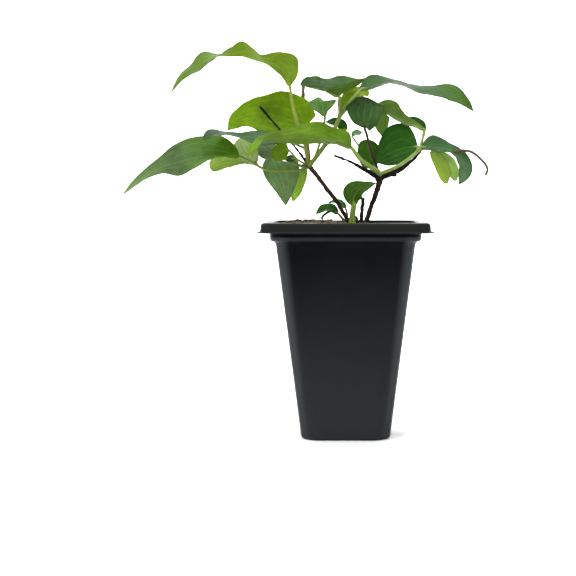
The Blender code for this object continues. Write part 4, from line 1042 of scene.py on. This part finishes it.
def make_pot():
    """The moulded pot: its profile from the underside, up the outside, over the rim and down."""
    under = POT_HEIGHT - RIM_DROP
    profile = [(0.3 * FOOT_HALF, 0.0), (0.7 * FOOT_HALF, 0.0)]
    profile += arc((wall_half(2.2) - 2.2, 2.2), 2.2, -90, -8, 7)
    profile += [(wall_half(z), z) for z in np.linspace(5, SHOULDER - 1.6, 14)]
    profile += arc((wall_half(SHOULDER) + 1.5, SHOULDER - 1.4), 1.4, 172, 100, 5)
    profile += arc((COLLAR_HALF - 1.9, SHOULDER + 1.9), 1.9, -78, -4, 6)
    profile += [(COLLAR_HALF, under - 1.0), (COLLAR_HALF, POT_HEIGHT - WALL - 0.6)]
    profile += arc((COLLAR_HALF + 0.6, POT_HEIGHT - WALL - 0.6), 0.6, 180, 90, 4)
    profile += arc((RIM_HALF - WALL - 1.2, POT_HEIGHT - WALL - 0.9), 0.9, 90, 10, 4)
    profile += [(RIM_HALF - WALL, under + 0.4), (RIM_HALF - WALL + 0.3, under)]
    profile += arc((LIP_HALF - 0.4, under + 0.4), 0.4, -90, 90, 6)
    profile += arc((RIM_HALF + 0.9, under + 1.7), 0.9, -90, -172, 5)
    profile += [(RIM_HALF - 0.12, under + 3.0)]
    profile += arc((RIM_HALF - 1.9, POT_HEIGHT - 1.7), 1.7, 6, 90, 8)
    profile += [(RIM_HALF - 4.0, POT_HEIGHT)]
    profile += arc((RIM_INNER_HALF + 0.8, POT_HEIGHT - 0.8), 0.8, 90, 180, 5)
    profile += [(RIM_INNER_HALF, SHOULDER + 3.2)]
    profile += arc((RIM_INNER_HALF - 1.2, SHOULDER + 2.0), 1.2, 0, -60, 4)
    profile += [(wall_half(z) - WALL, z) for z in np.linspace(SHOULDER - 1, FLOOR + 1.5, 9)]
    profile += [(wall_half(FLOOR) - WALL - 1.4, FLOOR), (0.3 * FOOT_HALF, FLOOR)]
    rings = []
    for half, z in profile:
        if half > SHOULDER_HALF + 3.5:
            corner = RIM_CORNER + (half - RIM_HALF) * 0.6
        elif z > SHOULDER - 1.6:
            corner = BODY_CORNER + (half - SHOULDER_HALF) * 0.4
        else:
            corner = wall_corner(z) + min(0, half - wall_half(z))
        corner = max(min(corner, half * 0.98), 0.4)
        bow = 0.35 * math.sin(math.pi * min(z / SHOULDER, 1)) if z > 3 else 0
        rings.append(rounded_square(half, corner, z, -bow))
    pot = loft("pot_shell", rings, pot_material(), "pot")
    cutters = []
    for side_x, side_y in ((-1, -1), (1, -1), (-1, 1), (1, 1)):
        bm = bmesh.new()
        bmesh.ops.create_cone(bm, cap_ends=True, segments=32, radius1=DRAIN_RADIUS * MM,
                              radius2=DRAIN_RADIUS * MM, depth=6 * MM)
        place = Vector((side_x * DRAIN_OFFSET, side_y * DRAIN_OFFSET, 0)) * MM
        bmesh.ops.translate(bm, verts=bm.verts, vec=place)
        cutter = placed("drain", mesh_of("drain", bm))
        hole = pot.modifiers.new("drain", "BOOLEAN")
        hole.object = cutter
        hole.operation = "DIFFERENCE"
        cutters.append(cutter)
    apply_modifiers(pot)
    for cutter in cutters:
        bpy.data.objects.remove(cutter)
    shade(pot, 35)


def apply_modifiers(piece):
    graph = bpy.context.evaluated_depsgraph_get()
    mesh = bpy.data.meshes.new_from_object(piece.evaluated_get(graph))
    piece.modifiers.clear()
    piece.data = mesh


def shade(piece, angle):
    piece.data.shade_smooth()
    piece.data.set_sharp_from_angle(angle=math.radians(angle))


def mix_height(x, y):
    """The potting mix's surface: level, with a low mound at the left and crumbly lumps."""
    across = (x - MOUND_CENTRE[0]) / MOUND_REACH[0]
    along = (y - MOUND_CENTRE[1]) / MOUND_REACH[1]
    mound = MIX_MOUND / (1 + across ** 6 + along ** 6)
    place = Vector((x, y, 0))
    lumps = 0.7 * noise(place * 0.16) + 0.55 * noise(place * 0.5) + 0.3 * noise(place * 1.3)
    return MIX_TOP + mound + lumps


def make_mix():
    """The mix up to its crumbly surface, and loose crumbs and bark chips lying on it."""
    inward = WALL + CLEAR
    half = RIM_INNER_HALF - CLEAR
    corner = BODY_CORNER - inward
    rings = [rounded_square(wall_half(z) - inward, wall_corner(z) - inward, z)
             for z in (FLOOR + CLEAR, SHOULDER - CLEAR)]
    rings.append(rounded_square(half, corner, SHOULDER + 2.6))
    rings.append(rounded_square(half, corner, MIX_TOP - 1.5))
    steps = 62
    for share in np.linspace(0.985, 0.015, steps):
        ring = rounded_square(half * share, corner * share, 0)
        for point in ring:
            point.z = mix_height(point.x, point.y) - 1.2 * max(0, share - 0.93) / 0.055
        rings.append(ring)
    body = loft("potting_mix_body", rings, mix_material(), "potting_mix")
    shade(body, 180)
    make_crumbs(half - 1.5)


def crumb_shape(rng, size, chip):
    """A small lumpy ball, or a flatter longer chip, as points and faces."""
    points, faces = ball(1 if size < FINE_CRUMB else 2)
    points = points * (1 + 0.28 * rng.uniform(-1, 1, (len(points), 1)))
    scale = np.array([1.9, 0.9, 0.45]) if chip else np.array([1.0, 0.85, 0.75])
    return points * scale * size, faces


def make_crumbs(half):
    rng = np.random.default_rng(SEED)
    shell = Shell()
    count = CRUMBS
    for _ in range(count):
        x, y = rng.uniform(-half, half, 2)
        chip = rng.random() < CHIP_SHARE
        size = rng.uniform(0.35, 1.0) * (1.25 if chip else 1.0)
        points, faces = crumb_shape(rng, size, chip)
        turn = Matrix.Rotation(rng.uniform(0, 6.28), 3, "Z") @ Matrix.Rotation(
            rng.uniform(-0.5, 0.5), 3, "X")
        points = points @ np.array(turn).T
        height = mix_height(x, y) + 0.1 * size
        if max(abs(x), abs(y)) > half - 2:
            height -= 0.6
        points = points + (x, y, height)
        tint = srgb(CRUMB_TINTS[rng.integers(len(CRUMB_TINTS))])
        shell.add(points, faces, 0, marks_of(len(points), tint, tint))
    piece = shell.piece("potting_mix_crumbs", [crumb_material()])
    settle(piece, None)


def knot_blob(shell, which, row):
    """The swollen knot as a lumpy ball."""
    place, radius = KNOTS[which]
    points, faces = ball(3, radius)
    points = points + at(*place)
    lumps = KNOT_SWELL + wobble(points, 1.6)[:, None] * KNOT_LUMPS
    points = points + unit(points - at(*place)) * lumps
    shell.add(points, faces, 0, np.tile(row, (len(points), 1)))


def make_stems(bark):
    """The woody stems: tubes and knots melted into one skin, with fibres raised on it."""
    for name, runs in STEMS.items():
        shell = Shell()
        tints = [srgb(code) for code in STEM_COLOURS[name]]
        paths = []
        for index, run in enumerate(runs):
            points = run_of([at(*p) for p in run["path"]], 1.0)
            radii = [radius * STEM_SWELL[name][index] for radius in run["radius"]]
            tube(shell, points, radii, 0, marks_of(1, tints[index], tints[index])[0], 16)
            paths.append(points)
        for which in STEM_KNOTS.get(name, []):
            knot_blob(shell, which, marks_of(1, tints[0], tints[0])[0])
        piece = shell.piece(name + "_bark", [bark])
        melt = piece.modifiers.new("melt", "REMESH")
        melt.mode = "VOXEL"
        melt.voxel_size = STEM_VOXEL
        melt.use_smooth_shade = True
        apply_modifiers(piece)
        raise_fibres(piece, paths, tints)
        settle(piece, name)


def raise_fibres(piece, paths, tints):
    """Pushes lengthwise fibres and small knobs out of the skin, and tints it by the nearest run."""
    mesh = piece.data
    points = np.empty(len(mesh.vertices) * 3)
    mesh.vertices.foreach_get("co", points)
    points = points.reshape(-1, 3) / MM
    normals = np.empty(len(mesh.vertices) * 3)
    mesh.vertices.foreach_get("normal", normals)
    normals = normals.reshape(-1, 3)
    apart = np.stack([np.min(np.linalg.norm(points[:, None] - path[None], axis=2), axis=1)
                      for path in paths])
    share = 1 / np.maximum(apart, 0.05) ** 4
    share = share / share.sum(0)
    tint = share.T @ np.array(tints)
    stretched = points * (1.0, 1.0, 0.22)
    fibre = wobble(stretched, 0.55) * FIBRE_RAISE + wobble(points, 2.3, 2) * KNOB_RAISE
    points = (points + normals * fibre[:, None]) * MM
    mesh.vertices.foreach_set("co", points.ravel())
    rgba = np.ones((len(points), 4), np.float32)
    rgba[:, :3] = tint
    for stale in [a.name for a in mesh.attributes if a.name in ("tint", "glow", "vein", "tone")]:
        mesh.attributes.remove(mesh.attributes[stale])
    layer = mesh.attributes.new("tint", "FLOAT_COLOR", "POINT")
    layer.data.foreach_set("color", rgba.ravel())
    mesh.update()


def look_of(name, index):
    """Linear colours of a blade and its stalk."""
    stalk, *blades = LOOKS[name]
    codes = dict(zip(("top", "under", "glow"), blades[index].split()), stalk=stalk)
    for end, tints in (("base", BASE_TINTS), ("tip", TIP_TINTS)):
        if (name, index) in tints:
            codes[end] = tints[name, index]
    return {key: srgb(code) for key, code in codes.items()}


def make_leaves():
    """Each leaf node as one piece: blades, and the stalks they hang on."""
    materials = [leaf_material("leaf_upper", 0.25, 0.62, 0.4),
                 leaf_material("leaf_lower", 0.28, 0.7, 0.56), stalk_material()]
    for number, (name, leaves) in enumerate(LEAVES.items()):
        shell = Shell()
        for index, leaf in enumerate(leaves):
            look = look_of(name, index)
            add_blade(shell, leaf, look, number * 3 + index)
            add_stalk(shell, leaf, look, THICK_STALKS.get(name, STALK_SWELL))
        if name in BARE_STALKS:
            bare = BARE_STALKS[name]
            points = run_of([at(*p) for p in bare["path"]], STALK_STEP)
            tint = srgb(BARE_COLOUR)
            radii = [BARE_SWELL * radius for radius in bare["radius"]]
            tube(shell, points, radii, 2, marks_of(1, tint, tint, 0, 1)[0])
        piece = shell.piece(name + "_fine", materials)
        settle(piece, name)


def area_light(name, place, aim, size, power, height=None):
    data = bpy.data.lights.new(name, "AREA")
    data.energy = power
    data.shape = "RECTANGLE"
    data.size = size
    data.size_y = height or size
    lamp = placed(name, data)
    lamp.location = place
    lamp.rotation_euler = (Vector(aim) - Vector(place)).to_track_quat("-Z", "Y").to_euler()
    lamp.visible_camera = False


def make_studio():
    """A pale paper sweep, an even sky and soft boxes round the plant and over the sweep."""
    bm = bmesh.new()
    front, start, radius, top, half = SWEEP
    profile = [(front, 0.0), (start, 0.0)]
    profile += [(start + radius * math.sin(a), radius - radius * math.cos(a))
                for a in np.linspace(0.1, math.pi / 2, 14)]
    profile += [(start + radius, top)]
    rows = [[bm.verts.new((side * half, y, z)) for y, z in profile] for side in (-1, 1)]
    for i in range(len(profile) - 1):
        bm.faces.new((rows[0][i], rows[1][i], rows[1][i + 1], rows[0][i + 1]))
    mesh = mesh_of("sweep", bm)
    mesh.materials.append(floor_material())
    mesh.shade_smooth()
    sweep = placed("sweep", mesh)
    world = bpy.data.worlds.new("sky")
    world.use_nodes = True
    world.node_tree.nodes["Background"].inputs["Color"].default_value = (1, 1, 1, 1)
    world.node_tree.nodes["Background"].inputs["Strength"].default_value = SKY_STRENGTH
    bpy.context.scene.world = world
    for name, light in LIGHTS.items():
        area_light(name, *light)
    bpy.context.scene.view_settings.view_transform = "Standard"


def make_camera():
    """Eye level of the photograph, with a slight tilt and the rest of the framing by shift."""
    data = bpy.data.cameras.new("photo_camera")
    distance = EYE_DISTANCE * MM
    data.sensor_width = SENSOR
    data.lens = SENSOR * distance / (FRAME_UNITS * DRAWING_UNIT * MM)
    tilt = math.radians(CAMERA_TILT)
    drop = (FRAME_UNITS / 2 - EYE_DOWN) / FRAME_UNITS
    data.shift_x = (FRAME_UNITS / 2 - EYE_ACROSS) / FRAME_UNITS
    data.shift_y = -drop + math.tan(tilt) * data.lens / SENSOR
    camera = placed("photo_camera", data)
    camera.location = (0, -distance, EYE_HEIGHT * MM)
    camera.rotation_euler = (math.pi / 2 - tilt, 0, 0)
    bpy.context.scene.camera = camera


make_camera()
make_pot()
make_mix()
make_stems(bark_material())
make_leaves()
make_studio()
